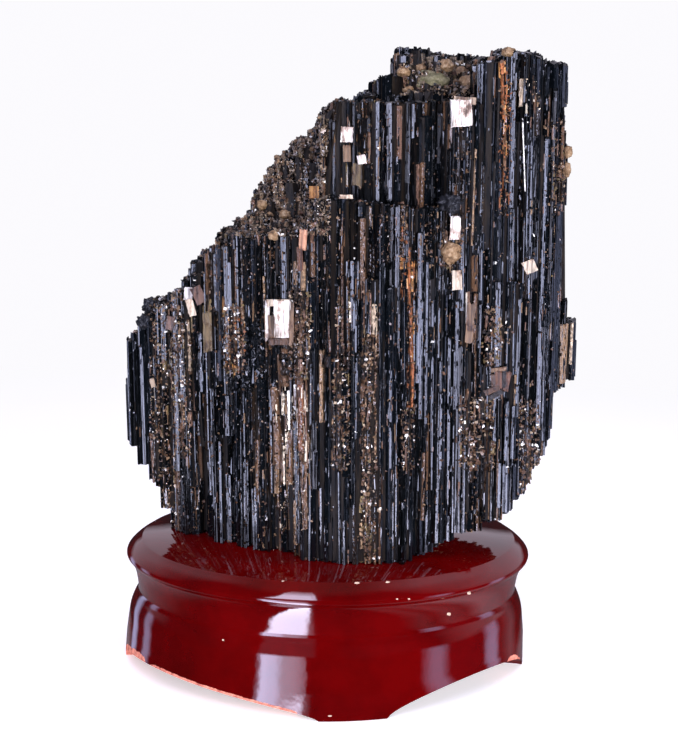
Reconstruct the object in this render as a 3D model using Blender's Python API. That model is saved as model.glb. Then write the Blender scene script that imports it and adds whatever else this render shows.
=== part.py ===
# A black tourmaline specimen on a carved, red lacquered wooden stand.
# Sizes below are in millimetres; mesh_object turns them into metres.
# The frame is +Z up, with the origin on the ground under the middle of the whole object's box.

import math
import random

import bpy
from mathutils import Matrix, Vector, noise
from mathutils.geometry import delaunay_2d_cdt

MM = 0.001

# Stand
STAND_CENTRE = (-6.4, 0.0)  # where the stand's middle lies under the whole object
PLATE_HALF_LENGTH = 85.0  # the top plate is an ellipse
PLATE_HALF_DEPTH = 64.0
STAND_HEIGHT = 57.0
STAND_SIDES = 80
UNDERSIDE_Z = 13.0  # the hollowed underside between the feet
FOOT_DEPTH = 15.0  # how far a foot reaches in from the skirt
FOOT_SLOPE = 3.0  # how much further in its inner wall meets the underside
SHARP_EDGE = math.radians(35.0)  # the stand is shaded smooth below this
# Each point is (how far out from the plate's rim, height), from the rim down the outside.
STAND_PROFILE = (
    (-1.2, 57.0),
    (0.0, 56.2),
    (2.6, 54.4),
    (4.8, 52.2),
    (5.5, 50.8),
    (5.3, 49.6),
    (3.6, 47.6),
    (1.8, 43.4),
    (0.8, 38.4),
    (0.5, 34.0),
    (2.2, 30.4),
    (3.8, 26.0),
    (4.7, 20.0),
    (5.4, 14.0),
)
SKIRT_FOOT_OUT = 6.0  # how far out the skirt stands at the ground
# The hand-cut arches between the four feet: (from, to, height, lean), with the ends as bearings in
# degrees round the stand. A lean over 1 moves an arch's top towards its far end, under 1 to its near end.
ARCHES = (
    (-81.0, -18.0, 12.4, 1.0),
    (18.0, 81.0, 12.0, 1.1),
    (99.0, 150.0, 11.5, 1.1),
    (176.0, 261.0, 10.8, 0.75),
)
ARCH_FULLNESS = 0.65

# Specimen, in its own frame: u to the right, v to the back, w up along the crystals
ROCK_TURN = math.radians(-10.0)  # about the vertical, against the stand
ROCK_LEAN = math.radians(2.1)  # the crystals' tops lean to the left
PLATE_GAP = 0.3
ROCK_SEED = 11
FINE_CELL = 3.7  # spacing of the crystals at a surface
COARSE_CELL = 8.5  # spacing of those deep inside
COARSENING = 0.36  # how fast the spacing grows with depth
EVENNESS = 0.86  # the least distance between two crystals, in spacings
SEED_TRIES = 26000
SEED_INSET = 0.45  # how far inside the outline a crystal's middle lies at least, in fine cells
RIM_WIDTH = 8.5  # how far out the empty cells reach
RIM_GAP = 0.42  # how far outside the outline they start, in fine cells
RIM_SPACING = 0.8  # how far apart they lie, in fine cells
RIM_TRIES = 9000
LEDGE_REACH = 4.0  # how far past the ends of a ledge the fine crystals go on
ROUGHNESS = 1.5  # how far one broken end stands above or below the next
HEIGHT_STEP = 0.5
PATCH_SCALE = 0.075  # broken crystals come in patches about 1 / PATCH_SCALE across
OUTER_LAYER = 1.15  # the outer layer's depth, in spacings
BROKEN_BETWEEN = (-70.0, 100.0)  # the stretch, from left to right, where crystals are broken short
BROKEN_SHARE = 0.5  # how many of the outer layer are, where the patches allow
BROKEN_LENGTHS = (0.3, 0.92)  # of their whole length
MISSING_FOOT_SHARE = 0.4  # how many have lost their lower end
MISSING_FOOT_HEIGHTS = (12.0, 60.0)
PIT_SHARE = 0.12  # how many of all crystals end in a pit
PIT_DEPTHS = (2.0, 7.0)
# Plan outline of the bundle, counter-clockwise from the left end of the front
OUTLINE = (
    (-92, 12), (-90, 3), (-84, -1), (-77, -3), (-69, -6), (-58, -12), (-48, -18), (-38, -25),
    (-23, -31), (-9, -38), (7, -42), (23, -40), (34, -36), (47, -34), (60, -34), (72, -32),
    (83, -27), (92, -19), (97, -9), (104, -5), (107.5, 0), (107, 7), (100.5, 12), (98, 24),
    (87, 34), (70, 41), (48, 44), (22, 46), (0, 45), (-24, 42), (-46, 38), (-64, 33), (-80, 27),
    (-89, 20),
)
# Height of the ridge that shows against the sky, from left to right
SKYLINE = (
    (-92, 85), (-86, 92), (-82.5, 101), (-79, 105), (-71.5, 106), (-68, 112), (-60, 121),
    (-53, 131), (-46, 136), (-39, 140), (-35, 146), (-31.5, 156), (-28, 160), (-21, 170),
    (-14, 175.5), (-7, 179.5), (-3.5, 186), (0, 190), (11, 191), (18, 198), (24.5, 203),
    (28, 207.5), (31, 214), (38, 212), (46, 210.5), (62, 209.5), (75, 212.5), (81, 212),
    (86, 208), (97, 207), (101, 205), (104, 200),
)
SKYLINE_DEPTH = 15.0  # how far back the ridge runs
FRONT_FALL = 0.06  # how steeply the top right of it falls to the front
# Height of the broken ends along the front, left of the front block
FRONT_TOPS = (
    (-92, 85), (-84, 91), (-75, 100), (-66, 108), (-54, 119), (-47, 129), (-39, 136), (-12, 138),
    (-6, 144),
)
FRONT_BLOCK = {"left": -7.0, "right": 50.0, "back": -24.0, "top": 152.5, "fall": 0.085}
REAR_BLOCK = {"left": -3.0, "right": 61.0, "back": -8.0, "top": 190.5}
REAR_SLOPE = 16.0  # how deep the slope from the rear block up to the ridge is
LEFT_SLOPE = (-27.0, 45.0)  # where the slope left of the blocks starts, and how deep it is
# Rounded lumps of mica and feldspar on the broken top: (u, v, radius, height)
LUMPS = ((44, -4, 8, 6.5), (57, -8, 6.5, 5.5), (-74, 8, 6, 4), (20, 4, 6, 4))
# A knot of crystals that stands out at the right edge, from below to above
SIDE_KNOT = {"left": 101.5, "bottom": 71.0, "top": 98.0}
# Height where the bundle's underside ends in the air, at the right and at the left. The right one
# starts further to the left at the front.
RIGHT_UNDERSIDE = (
    (46, 0), (51, 2), (56, 7), (62, 10), (76, 13), (80, 16), (86, 20), (89, 27), (92, 34), (95, 42),
    (97, 52), (100, 62), (103, 70),
)
UNDERSIDE_SKEW = 0.3
BACK_UNDERCUT = {"from": 24.0, "reach": 20.0, "rise": 0.7}
LEFT_UNDERSIDE = (
    (-92, 44), (-88, 40), (-84, 36), (-80, 31), (-77, 24), (-74, 16), (-72, 8), (-70, 0),
)


def mesh_object(name, points, faces, material, matrix):
    """A mesh object from points in millimetres, placed by matrix, also in millimetres."""
    mesh = bpy.data.meshes.new(name)
    mesh.from_pydata([matrix @ Vector(p) * MM for p in points], [], faces)
    mesh.materials.append(material)
    mesh.validate()
    obj = bpy.data.objects.new(name, mesh)
    bpy.context.scene.collection.objects.link(obj)
    return obj


def make_material(name, colour, roughness, metallic):
    material = bpy.data.materials.new(name)
    material.use_nodes = True
    shader = material.node_tree.nodes["Principled BSDF"]
    shader.inputs["Base Color"].default_value = (*colour, 1.0)
    shader.inputs["Roughness"].default_value = roughness
    shader.inputs["Metallic"].default_value = metallic
    return material


def along(table, x):
    """The value at x of a table of (x, value), straight between its entries."""
    if x <= table[0][0]:
        return table[0][1]
    for (x0, y0), (x1, y1) in zip(table, table[1:]):
        if x <= x1:
            return y0 + (y1 - y0) * (x - x0) / (x1 - x0)
    return table[-1][1]


def ease(x):
    """0 to 1 with flat ends, for x from 0 to 1."""
    x = min(1.0, max(0.0, x))
    return x * x * (3.0 - 2.0 * x)


# The stand

def arch_height(bearing):
    """Height of the skirt's lower edge at a bearing round the stand, in degrees."""
    for start, end, height, lean in ARCHES:
        along_arch = ((bearing - start) % 360.0) / (end - start)
        if along_arch < 1.0:
            return height * math.sin(math.pi * along_arch**lean) ** ARCH_FULLNESS
    return 0.0


def stand_ring(out, heights):
    """A ring round the stand, out from the plate's rim, with one height for each side."""
    ring = []
    for i, z in enumerate(heights):
        angle = 2.0 * math.pi * i / STAND_SIDES
        ring.append((
            (PLATE_HALF_LENGTH + out) * math.cos(angle),
            (PLATE_HALF_DEPTH + out) * math.sin(angle),
            z,
        ))
    return ring


def make_stand(material):
    edge = [arch_height(360.0 * i / STAND_SIDES) for i in range(STAND_SIDES)]
    rings = [stand_ring(out, [z] * STAND_SIDES) for out, z in STAND_PROFILE]
    rings.append(stand_ring(SKIRT_FOOT_OUT, edge))
    rings.append(stand_ring(SKIRT_FOOT_OUT - FOOT_DEPTH, edge))
    rings.append(stand_ring(SKIRT_FOOT_OUT - FOOT_DEPTH - FOOT_SLOPE, [UNDERSIDE_Z] * STAND_SIDES))
    points = [p for ring in rings for p in ring]
    faces = [tuple(range(STAND_SIDES))]
    for r in range(len(rings) - 1):
        for i in range(STAND_SIDES):
            j = (i + 1) % STAND_SIDES
            upper, lower = r * STAND_SIDES, (r + 1) * STAND_SIDES
            faces.append((upper + i, lower + i, lower + j, upper + j))
    faces.append(tuple(reversed(range((len(rings) - 1) * STAND_SIDES, len(rings) * STAND_SIDES))))
    place = Matrix.Translation((*STAND_CENTRE, 0.0))
    stand = mesh_object("display_stand", points, faces, material, place)
    stand.data.shade_smooth()
    stand.data.set_sharp_from_angle(angle=SHARP_EDGE)
    return stand


# The specimen: a bundle of upright prisms that share their walls

def edge_distance(u, v, outline=OUTLINE):
    """Distance from a point to the outline, positive inside."""
    nearest, inside = math.inf, False
    for (ax, ay), (bx, by) in zip(outline, outline[1:] + outline[:1]):
        if (ay > v) != (by > v) and u < (bx - ax) * (v - ay) / (by - ay) + ax:
            inside = not inside
        dx, dy = bx - ax, by - ay
        t = max(0.0, min(1.0, ((u - ax) * dx + (v - ay) * dy) / (dx * dx + dy * dy)))
        nearest = min(nearest, math.hypot(u - ax - t * dx, v - ay - t * dy))
    return nearest if inside else -nearest


def ledge_distance(u, v):
    """Distance to the nearest step between the front block, the rear block and the ridge."""
    found = [math.inf]
    for block in (FRONT_BLOCK, REAR_BLOCK):
        if block["left"] - LEDGE_REACH < u < block["right"] + LEDGE_REACH:
            found.append(abs(v - block["back"]))
    if v < REAR_BLOCK["back"]:
        found += [abs(u - FRONT_BLOCK["left"]), abs(u - REAR_BLOCK["right"])]
    return min(found)


def crystal_spacing(u, v):
    depth = min(abs(edge_distance(u, v)), ledge_distance(u, v))
    return min(COARSE_CELL, FINE_CELL + COARSENING * max(0.0, depth - 0.5 * FINE_CELL))


def top_height(u, v):
    """Height of the broken top over a point of the plan."""
    sky = along(SKYLINE, u - 0.5 * FINE_CELL)
    front, rear = FRONT_BLOCK, REAR_BLOCK
    if front["left"] < u < front["right"] and v < front["back"]:
        return front["top"] - front["fall"] * (u - front["left"])
    if u > SIDE_KNOT["left"]:
        return SIDE_KNOT["top"]
    if u >= rear["right"]:
        return sky - FRONT_FALL * max(0.0, SKYLINE_DEPTH - v)
    if u > rear["left"]:
        low, start, depth = rear["top"], rear["back"], REAR_SLOPE
    else:
        low, (start, depth) = along(FRONT_TOPS, u), LEFT_SLOPE
    return low + (sky - low) * ease((v - start) / depth)


def lump_height(u, v):
    """How far the rounded lumps stand above the broken top."""
    height = 0.0
    for middle_u, middle_v, radius, rise in LUMPS:
        out = math.hypot(u - middle_u, v - middle_v) / radius
        height = max(height, rise * math.sqrt(max(0.0, 1.0 - out * out)))
    return height


def underside_height(u, v):
    """Height of the bundle's underside where it hangs clear of the plate, or 0 where it stands on it."""
    if u > SIDE_KNOT["left"]:
        return SIDE_KNOT["bottom"]
    lift = along(LEFT_UNDERSIDE, u)
    if u > 0.0:
        lift = along(RIGHT_UNDERSIDE, u - UNDERSIDE_SKEW * min(v, 0.0))
    if v > BACK_UNDERCUT["from"]:
        lift = max(lift, BACK_UNDERCUT["rise"] * (BACK_UNDERCUT["reach"] - edge_distance(u, v)))
    return lift


def ground_height(u):
    """Height, in the leaning frame, of the level plane just above the stand's plate."""
    return (PLATE_GAP - u * math.sin(ROCK_LEAN)) / math.cos(ROCK_LEAN)


def crystal_seeds(dice):
    """Middles of the crystals, close together near a surface, and of the empty cells round them."""
    lows = [min(p[k] for p in OUTLINE) for k in (0, 1)]
    highs = [max(p[k] for p in OUTLINE) for k in (0, 1)]
    seeds = []
    for _ in range(SEED_TRIES):
        u, v = (dice.uniform(lows[k], highs[k]) for k in (0, 1))
        if edge_distance(u, v) < SEED_INSET * FINE_CELL:
            continue
        space = crystal_spacing(u, v)
        if all((u - a) ** 2 + (v - b) ** 2 > (EVENNESS * space) ** 2 for a, b in seeds):
            seeds.append((u, v))
    empty = []
    space = RIM_SPACING * FINE_CELL
    for _ in range(RIM_TRIES):
        u, v = (dice.uniform(lows[k] - RIM_WIDTH, highs[k] + RIM_WIDTH) for k in (0, 1))
        if not -RIM_WIDTH < edge_distance(u, v) < -RIM_GAP * FINE_CELL:
            continue
        if all((u - a) ** 2 + (v - b) ** 2 > space**2 for a, b in seeds + empty):
            empty.append((u, v))
    return seeds, empty


def circumcentre(a, b, c):
    bx, by, cx, cy = b[0] - a[0], b[1] - a[1], c[0] - a[0], c[1] - a[1]
    d = 2.0 * (bx * cy - by * cx)
    b2, c2 = bx * bx + by * by, cx * cx + cy * cy
    return (a[0] + (cy * b2 - by * c2) / d, a[1] + (bx * c2 - cx * b2) / d)


def crystal_cells(seeds, empty):
    """Corners of the plan, each cell's corners counter-clockwise, and which cell lies across each side."""
    flat = delaunay_2d_cdt([Vector(p) for p in seeds + empty], [], [], 0, 1e-7)
    centres = [tuple(p) for p in flat[0]]
    corners = [circumcentre(*(centres[i] for i in face)) for face in flat[2]]
    touching = {}
    for corner, face in enumerate(flat[2]):
        for i in face:
            touching.setdefault(i, []).append(corner)
    cells = {}
    for i in range(len(seeds)):
        u, v = centres[i]
        cells[i] = sorted(touching[i], key=lambda c: math.atan2(corners[c][1] - v, corners[c][0] - u))
    across = {}
    for i, loop in cells.items():
        for a, b in zip(loop, loop[1:] + loop[:1]):
            across[(a, b)] = i
    return corners, cells, across


def crystal_spans(seeds, dice):
    """Each crystal's own (lower, upper) height; lower is None where it stands on the plate."""
    spans = []
    for u, v in seeds:
        depth = edge_distance(u, v)
        lump = lump_height(u, v)
        top = top_height(u, v) + lump + dice.uniform(-1.0, 0.5) * ROUGHNESS
        low = underside_height(u, v)
        patch = noise.noise(Vector((u, v, 0.0)) * PATCH_SCALE)
        if dice.random() < PIT_SHARE and not lump:
            top -= dice.uniform(*PIT_DEPTHS)
        if depth < OUTER_LAYER * FINE_CELL and BROKEN_BETWEEN[0] < u < BROKEN_BETWEEN[1]:
            if patch > 0.0 and dice.random() < BROKEN_SHARE:
                top = low + (top - low) * dice.uniform(*BROKEN_LENGTHS)
            elif patch < 0.0 and dice.random() < MISSING_FOOT_SHARE:
                low = max(low, dice.uniform(*MISSING_FOOT_HEIGHTS))
        top = HEIGHT_STEP * round(top / HEIGHT_STEP)
        if low > 0.0:
            low = max(low + dice.uniform(-1.0, 1.0) * ROUGHNESS, ground_height(u) + ROUGHNESS)
            low = HEIGHT_STEP * round(low / HEIGHT_STEP)
        spans.append((low if low > 0.0 else None, top))
    return spans


def wall_faces(chain_a, chain_b):
    """Triangles between two upright rows of points, each row from its lowest to its highest."""
    faces, i, j = [], 0, 0
    while i < len(chain_a) - 1 or j < len(chain_b) - 1:
        take_b = i == len(chain_a) - 1
        if not take_b and j < len(chain_b) - 1:
            take_b = chain_b[j + 1][1] <= chain_a[i + 1][1]
        if take_b:
            faces.append((chain_a[i][0], chain_b[j][0], chain_b[j + 1][0]))
            j += 1
        else:
            faces.append((chain_a[i][0], chain_b[j][0], chain_a[i + 1][0]))
            i += 1
    return faces


def bundle_mesh(corners, cells, across, spans):
    """Points and faces of the closed surface round all the prisms."""
    numbers, points = {}, []

    def point(corner, z):
        key = (corner, round(z, 4))
        if key not in numbers:
            numbers[key] = len(points)
            points.append((*corners[corner], z))
        return numbers[key]

    def ends(cell, corner):
        low, top = spans[cell]
        return (ground_height(corners[corner][0]) if low is None else low, top)

    levels = {}
    for cell, loop in cells.items():
        for corner in loop:
            levels.setdefault(corner, set()).update(round(z, 4) for z in ends(cell, corner))

    def chain(corner, low, high):
        low, high = round(low, 4), round(high, 4)
        return [(point(corner, z), z) for z in sorted(levels[corner]) if low <= z <= high]

    faces = []
    for cell, loop in cells.items():
        upper = [point(c, ends(cell, c)[1]) for c in loop]
        lower = [point(c, ends(cell, c)[0]) for c in loop]
        for k in range(1, len(loop) - 1):
            faces.append((upper[0], upper[k], upper[k + 1]))
            faces.append((lower[0], lower[k + 1], lower[k]))
        for a, b in zip(loop, loop[1:] + loop[:1]):
            own, other = (ends(cell, a), ends(cell, b)), across.get((b, a))
            if other is None:
                bands = [(own[0][0], own[0][1], own[1][0], own[1][1])]
            else:
                next_to = (ends(other, a), ends(other, b))
                bands = []
                if own[0][1] > next_to[0][1]:
                    bands.append((next_to[0][1], own[0][1], next_to[1][1], own[1][1]))
                if own[0][0] < next_to[0][0] and own[1][0] < next_to[1][0]:
                    bands.append((own[0][0], next_to[0][0], own[1][0], next_to[1][0]))
            for low_a, high_a, low_b, high_b in bands:
                faces += wall_faces(chain(a, low_a, high_a), chain(b, low_b, high_b))
    return points, faces


def rock_place():
    """Carries the specimen's own frame onto the stand."""
    lean = Matrix.Rotation(-ROCK_LEAN, 4, "Y")
    turn = Matrix.Rotation(ROCK_TURN, 4, "Z")
    return Matrix.Translation((*STAND_CENTRE, STAND_HEIGHT)) @ turn @ lean


def make_rock(material):
    dice = random.Random(ROCK_SEED)
    seeds, empty = crystal_seeds(dice)
    corners, cells, across = crystal_cells(seeds, empty)
    spans = crystal_spans(seeds, dice)
    points, faces = bundle_mesh(corners, cells, across, spans)
    return mesh_object("tourmaline_crystal", points, faces, material, rock_place())


def main():
    for obj in list(bpy.data.objects):
        bpy.data.objects.remove(obj)
    make_stand(make_material("red_lacquer", (0.30, 0.006, 0.008), 0.12, 0.0))
    make_rock(make_material("black_tourmaline", (0.012, 0.013, 0.017), 0.25, 0.0))


main()
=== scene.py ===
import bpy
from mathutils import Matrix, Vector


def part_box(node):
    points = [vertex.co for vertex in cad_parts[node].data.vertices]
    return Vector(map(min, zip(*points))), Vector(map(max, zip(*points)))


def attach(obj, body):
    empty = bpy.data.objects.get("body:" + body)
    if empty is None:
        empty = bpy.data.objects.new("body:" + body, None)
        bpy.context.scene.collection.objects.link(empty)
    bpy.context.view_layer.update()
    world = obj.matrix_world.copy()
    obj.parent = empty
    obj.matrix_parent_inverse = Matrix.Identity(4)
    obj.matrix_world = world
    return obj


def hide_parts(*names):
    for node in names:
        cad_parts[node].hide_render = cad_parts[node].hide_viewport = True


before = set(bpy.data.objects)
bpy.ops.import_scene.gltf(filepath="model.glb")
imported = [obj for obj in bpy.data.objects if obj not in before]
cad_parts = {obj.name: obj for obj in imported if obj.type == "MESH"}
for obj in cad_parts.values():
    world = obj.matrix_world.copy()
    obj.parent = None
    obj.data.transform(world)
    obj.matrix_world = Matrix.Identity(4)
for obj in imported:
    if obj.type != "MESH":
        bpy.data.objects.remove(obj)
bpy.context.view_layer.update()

import math
import random

import bpy
import bmesh
from mathutils import Matrix, Vector, noise
from mathutils.bvhtree import BVHTree

mm = 0.001
standLow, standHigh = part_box("display_stand")
standMiddle = (standLow + standHigh) / 2

# The camera, measured from the ground under the stand's middle
viewpoint = {
    "right": -96.1,
    "back": -552.7,
    "up": 241.1,
    "turn": -10.0,  # degrees
    "pitch": -11.2,
    "roll": 2.0,
    "focus": 1300.0,  # pixels
    "width": 678,
    "height": 749,
    "sensor": 36.0,
}

# The stone's own frame: u to the right, v to the back, w up along the crystals
stoneFrame = {"turn": -10.0, "lean": -2.1}


def turned(axis, degrees):
    return Matrix.Rotation(math.radians(degrees), 4, axis)


cameraPlace = Matrix.Translation((
    standMiddle.x + viewpoint["right"] * mm,
    standMiddle.y + viewpoint["back"] * mm,
    viewpoint["up"] * mm,
))
cameraPlace = cameraPlace @ turned("Z", viewpoint["turn"]) @ turned("X", 90.0 + viewpoint["pitch"])
cameraPlace = cameraPlace @ turned("Z", viewpoint["roll"])
stonePlace = Matrix.Translation((standMiddle.x, standMiddle.y, standHigh.z))
stonePlace = stonePlace @ turned("Z", stoneFrame["turn"]) @ turned("Y", stoneFrame["lean"])
stonePlace = stonePlace @ Matrix.Scale(mm, 4)
toStone = stonePlace.inverted()
worldToLens = cameraPlace.inverted()
stoneToLens = worldToLens @ stonePlace
cameraInStone = toStone @ cameraPlace.translation


def link(thing):
    bpy.context.scene.collection.objects.link(thing)


def makeCamera():
    data = bpy.data.cameras.new("camera")
    data.sensor_width = viewpoint["sensor"]
    data.lens = viewpoint["focus"] * viewpoint["sensor"] / viewpoint["height"]
    data.clip_start = 0.01
    camera = bpy.data.objects.new("camera", data)
    camera.matrix_world = cameraPlace
    link(camera)
    bpy.context.scene.camera = camera


def pixelDirection(x, y):
    # Where a pixel looks, in the world
    straight = Vector((x - viewpoint["width"] / 2, viewpoint["height"] / 2 - y, -viewpoint["focus"]))
    return (cameraPlace.to_3x3() @ straight).normalized()


def stoneRay(x, y):
    return (toStone.to_3x3() @ pixelDirection(x, y)).normalized()


def pixelOf(point, toLens=stoneToLens):
    seen = toLens @ point
    scale = viewpoint["focus"] / -seen.z
    return viewpoint["width"] / 2 + scale * seen.x, viewpoint["height"] / 2 - scale * seen.y


def pixelSize(point):
    # How many millimetres one pixel covers at a point of the stone's frame
    return (point - cameraInStone).length / viewpoint["focus"]


def toCamera(point):
    return (cameraInStone - point).normalized()


makeCamera()
print("Camera placed")

# Finishes


def newMaterial(name):
    material = bpy.data.materials.new(name)
    material.use_nodes = True
    shader = material.node_tree.nodes["Principled BSDF"]
    return material, material.node_tree, shader


def meshFrom(work, name):
    mesh = bpy.data.meshes.new(name)
    work.to_mesh(mesh)
    work.free()
    return mesh


def setInputs(tree, node, **values):
    # Values go to the inputs of that name, with _ for a space; a socket is linked, anything else is set
    for name, value in values.items():
        socket = node.inputs[int(name[1:])] if name[1:].isdigit() else node.inputs[name.replace("_", " ")]
        if isinstance(value, bpy.types.NodeSocket):
            tree.links.new(value, socket)
        else:
            socket.default_value = value


def addNode(tree, kind, settings=None, **values):
    made = tree.nodes.new(kind)
    for name, value in (settings or {}).items():
        setattr(made, name, value)
    setInputs(tree, made, **values)
    return made


def objectPlace(tree):
    return addNode(tree, "ShaderNodeTexCoord").outputs["Object"]


def attribute(tree, name, output="Fac"):
    return addNode(tree, "ShaderNodeAttribute", {"attribute_name": name}).outputs[output]


def noiseAt(tree, place, scale=1.0, detail=3.0, roughness=0.5):
    made = addNode(tree, "ShaderNodeTexNoise", Vector=place, Scale=scale, Detail=detail, Roughness=roughness)
    return made.outputs["Fac"]


def spread(tree, value, low=0.0, high=1.0, fromLow=0.0, fromHigh=1.0):
    made = addNode(tree, "ShaderNodeMapRange", Value=value, From_Min=fromLow, From_Max=fromHigh)
    setInputs(tree, made, To_Min=low, To_Max=high)
    return made.outputs[0]


def calculate(tree, operation, *values):
    inputs = {f"_{i}": value for i, value in enumerate(values)}
    return addNode(tree, "ShaderNodeMath", {"operation": operation}, **inputs).outputs[0]


def mixColours(tree, factor, first, second, blend="MIX"):
    settings = {"data_type": "RGBA", "blend_type": blend}
    return addNode(tree, "ShaderNodeMix", settings, Factor=factor, _6=first, _7=second).outputs[2]


def relief(tree, height, strength, depth, under=None):
    # A bump of some depth in metres, on top of another where one is given
    made = addNode(tree, "ShaderNodeBump", Strength=strength, Distance=depth, Height=height)
    if under:
        tree.links.new(under, made.inputs["Normal"])
    return made.outputs["Normal"]


def stoneCoordinates(tree, scale):
    # Object coordinates turned to the stone's frame, so that a pattern can run along the crystals
    turn = (0.0, math.radians(stoneFrame["lean"]), math.radians(stoneFrame["turn"]))
    place = objectPlace(tree)
    upright = addNode(tree, "ShaderNodeMapping", {"vector_type": "TEXTURE"}, Vector=place, Rotation=turn)
    return addNode(tree, "ShaderNodeMapping", Vector=upright.outputs[0], Scale=scale).outputs[0]


def ramp(tree, factor, stops):
    made = addNode(tree, "ShaderNodeValToRGB", Fac=factor)
    elements = made.color_ramp.elements
    while len(elements) < len(stops):
        elements.new(1.0)
    for element, (place, colour) in zip(elements, stops):
        element.position = place
        element.color = (*colour, 1.0)
    return made.outputs["Color"]


crystalFinish = {
    "refraction": 1.64,
    # Patterns across and along the crystals, per metre
    "striations": (1000.0, 1000.0, 8.0),
    "stains": (420.0, 420.0, 60.0),
    "waves": (520.0, 520.0, 130.0),
    "grit": (1250.0, 1250.0, 800.0),
    "stainShades": (0.4, 1.6),  # how much a stain darkens and lightens
    "grainShades": (0.2, 2.3),
    "stainDulls": 0.08,
    "striationDepth": 0.00016,  # metres
    "waveDepth": 0.00006,
    "gritDepth": 0.0006,
}


def crystalMaterial():
    material, tree, shader = newMaterial("crystal_faces")
    finish = crystalFinish
    grit = attribute(tree, "grit")
    patterns = ("striations", "stains", "waves")
    fine, stain, wave = (noiseAt(tree, stoneCoordinates(tree, finish[pattern])) for pattern in patterns)
    grain = addNode(tree, "ShaderNodeTexVoronoi", Vector=stoneCoordinates(tree, finish["grit"]), Scale=1.0)
    # Gritty pieces vary from grain to grain, the black ones hardly at all
    grainShade = addNode(tree, "ShaderNodeSeparateColor", Color=grain.outputs["Color"]).outputs["Red"]
    grainShade = spread(tree, grainShade, *finish["grainShades"])
    evenShade = addNode(tree, "ShaderNodeMix", Factor=grit, _2=1.0, _3=grainShade).outputs[0]
    shade = calculate(tree, "MULTIPLY", evenShade, spread(tree, stain, *finish["stainShades"]))
    lines = relief(tree, fine, 1.0, finish["striationDepth"])
    lines = relief(tree, wave, 1.0, finish["waveDepth"], lines)
    setInputs(
        tree, shader, IOR=finish["refraction"],
        Base_Color=mixColours(tree, 1.0, attribute(tree, "tint", "Color"), shade, "MULTIPLY"),
        Roughness=calculate(tree, "MULTIPLY_ADD", stain, finish["stainDulls"], attribute(tree, "dull")),
        Normal=relief(tree, grain.outputs["Distance"], grit, finish["gritDepth"], lines),
    )
    return material


def lumpMaterial(name, stops, roughness, scale):
    material, tree, shader = newMaterial(name)
    place = objectPlace(tree)
    patches = noiseAt(tree, place, scale, 6.0, 0.65)
    grit = noiseAt(tree, place, 2.2 * scale, 4.0)
    setInputs(
        tree, shader, Base_Color=ramp(tree, patches, stops), Roughness=roughness,
        Normal=relief(tree, grit, 0.6, 0.0004),
    )
    return material


lacquer = {
    "red": (0.092, 0.0003, 0.0006),
    "dark": (0.052, 0.0002, 0.0004),
    "clouds": 38.0,  # of the two reds, to the metre
    "bareWood": (0.72, 0.27, 0.20),
    "woodDust": (0.34, 0.09, 0.07),
    "raggedness": 420.0,  # of the worn edge, to the metre
    "wornEdge": (0.72, 0.76),
    "roughness": (0.3, 0.8),  # under the coat, and of the bare wood
    "coatRoughness": 0.05,
    "coatRefraction": 1.6,
    "ripple": 90.0,  # waves to the metre
    "rippleDepth": 0.00014,
}


def lacquerMaterial():
    material, tree, shader = newMaterial("red_lacquer")
    place = objectPlace(tree)
    clouds = noiseAt(tree, place, lacquer["clouds"], 5.0, 0.6)
    red = ramp(tree, clouds, ((0.3, lacquer["dark"]), (0.62, lacquer["red"])))
    ragged = noiseAt(tree, place, lacquer["raggedness"], 4.0, 0.7)
    wood = ramp(tree, ragged, ((0.35, lacquer["woodDust"]), (0.6, lacquer["bareWood"])))
    edge = calculate(tree, "MULTIPLY_ADD", ragged, 0.5, attribute(tree, "worn"))
    bare = spread(tree, edge, 0.0, 1.0, *lacquer["wornEdge"])
    ripple = relief(tree, noiseAt(tree, place, lacquer["ripple"], 3.0, 0.55), 0.5, lacquer["rippleDepth"])
    setInputs(
        tree, shader, Base_Color=mixColours(tree, bare, red, wood),
        Roughness=spread(tree, bare, *lacquer["roughness"]), Coat_Weight=spread(tree, bare, 1.0, 0.0),
        Coat_Roughness=lacquer["coatRoughness"], Coat_IOR=lacquer["coatRefraction"],
        Specular_IOR_Level=0.0, Normal=ripple, Coat_Normal=ripple,
    )
    return material


# The stone

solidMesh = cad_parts["tourmaline_crystal"].data
solid = BVHTree.FromPolygons(
    [toStone @ corner.co for corner in solidMesh.vertices],
    [tuple(face.vertices) for face in solidMesh.polygons],
)
upward = Vector((0.0, 0.0, 1.0))


def placeMesh(name, mesh, place=None):
    # A mesh of the stone's frame as a finished piece that rides with the part
    if place is not None:
        mesh.transform(place)
    piece = bpy.data.objects.new(name, mesh)
    link(piece)
    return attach(piece, "root")


# The stone's outline as the camera sees it: height and place of its left and right edges, in pixels
outlines = {
    "left": (
        (40, 394), (60, 394), (72, 378), (97, 358), (104, 325), (130, 314), (142, 295), (166, 272),
        (190, 254), (214, 250), (232, 221), (268, 190), (296, 177), (303, 148), (328, 137), (340, 126),
        (400, 126), (448, 128), (462, 137), (484, 158), (530, 161),
    ),
    "right": (
        (60, 567), (98, 569), (104, 565), (148, 565), (152, 568), (196, 567), (206, 564), (298, 562),
        (303, 577), (381, 577), (384, 558), (400, 551), (446, 550), (460, 540), (484, 528), (496, 516),
        (530, 502),
    ),
}


def pastEdge(point, side):
    # How many pixels a point lies outside the stone's outline
    x, y = pixelOf(point)
    edge = outlines[side]
    for (top, start), (bottom, end) in zip(edge, edge[1:]):
        if top <= y < bottom:
            over = x - start - (end - start) * (y - top) / (bottom - top)
            return over if side == "right" else -over
    return -math.inf


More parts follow.
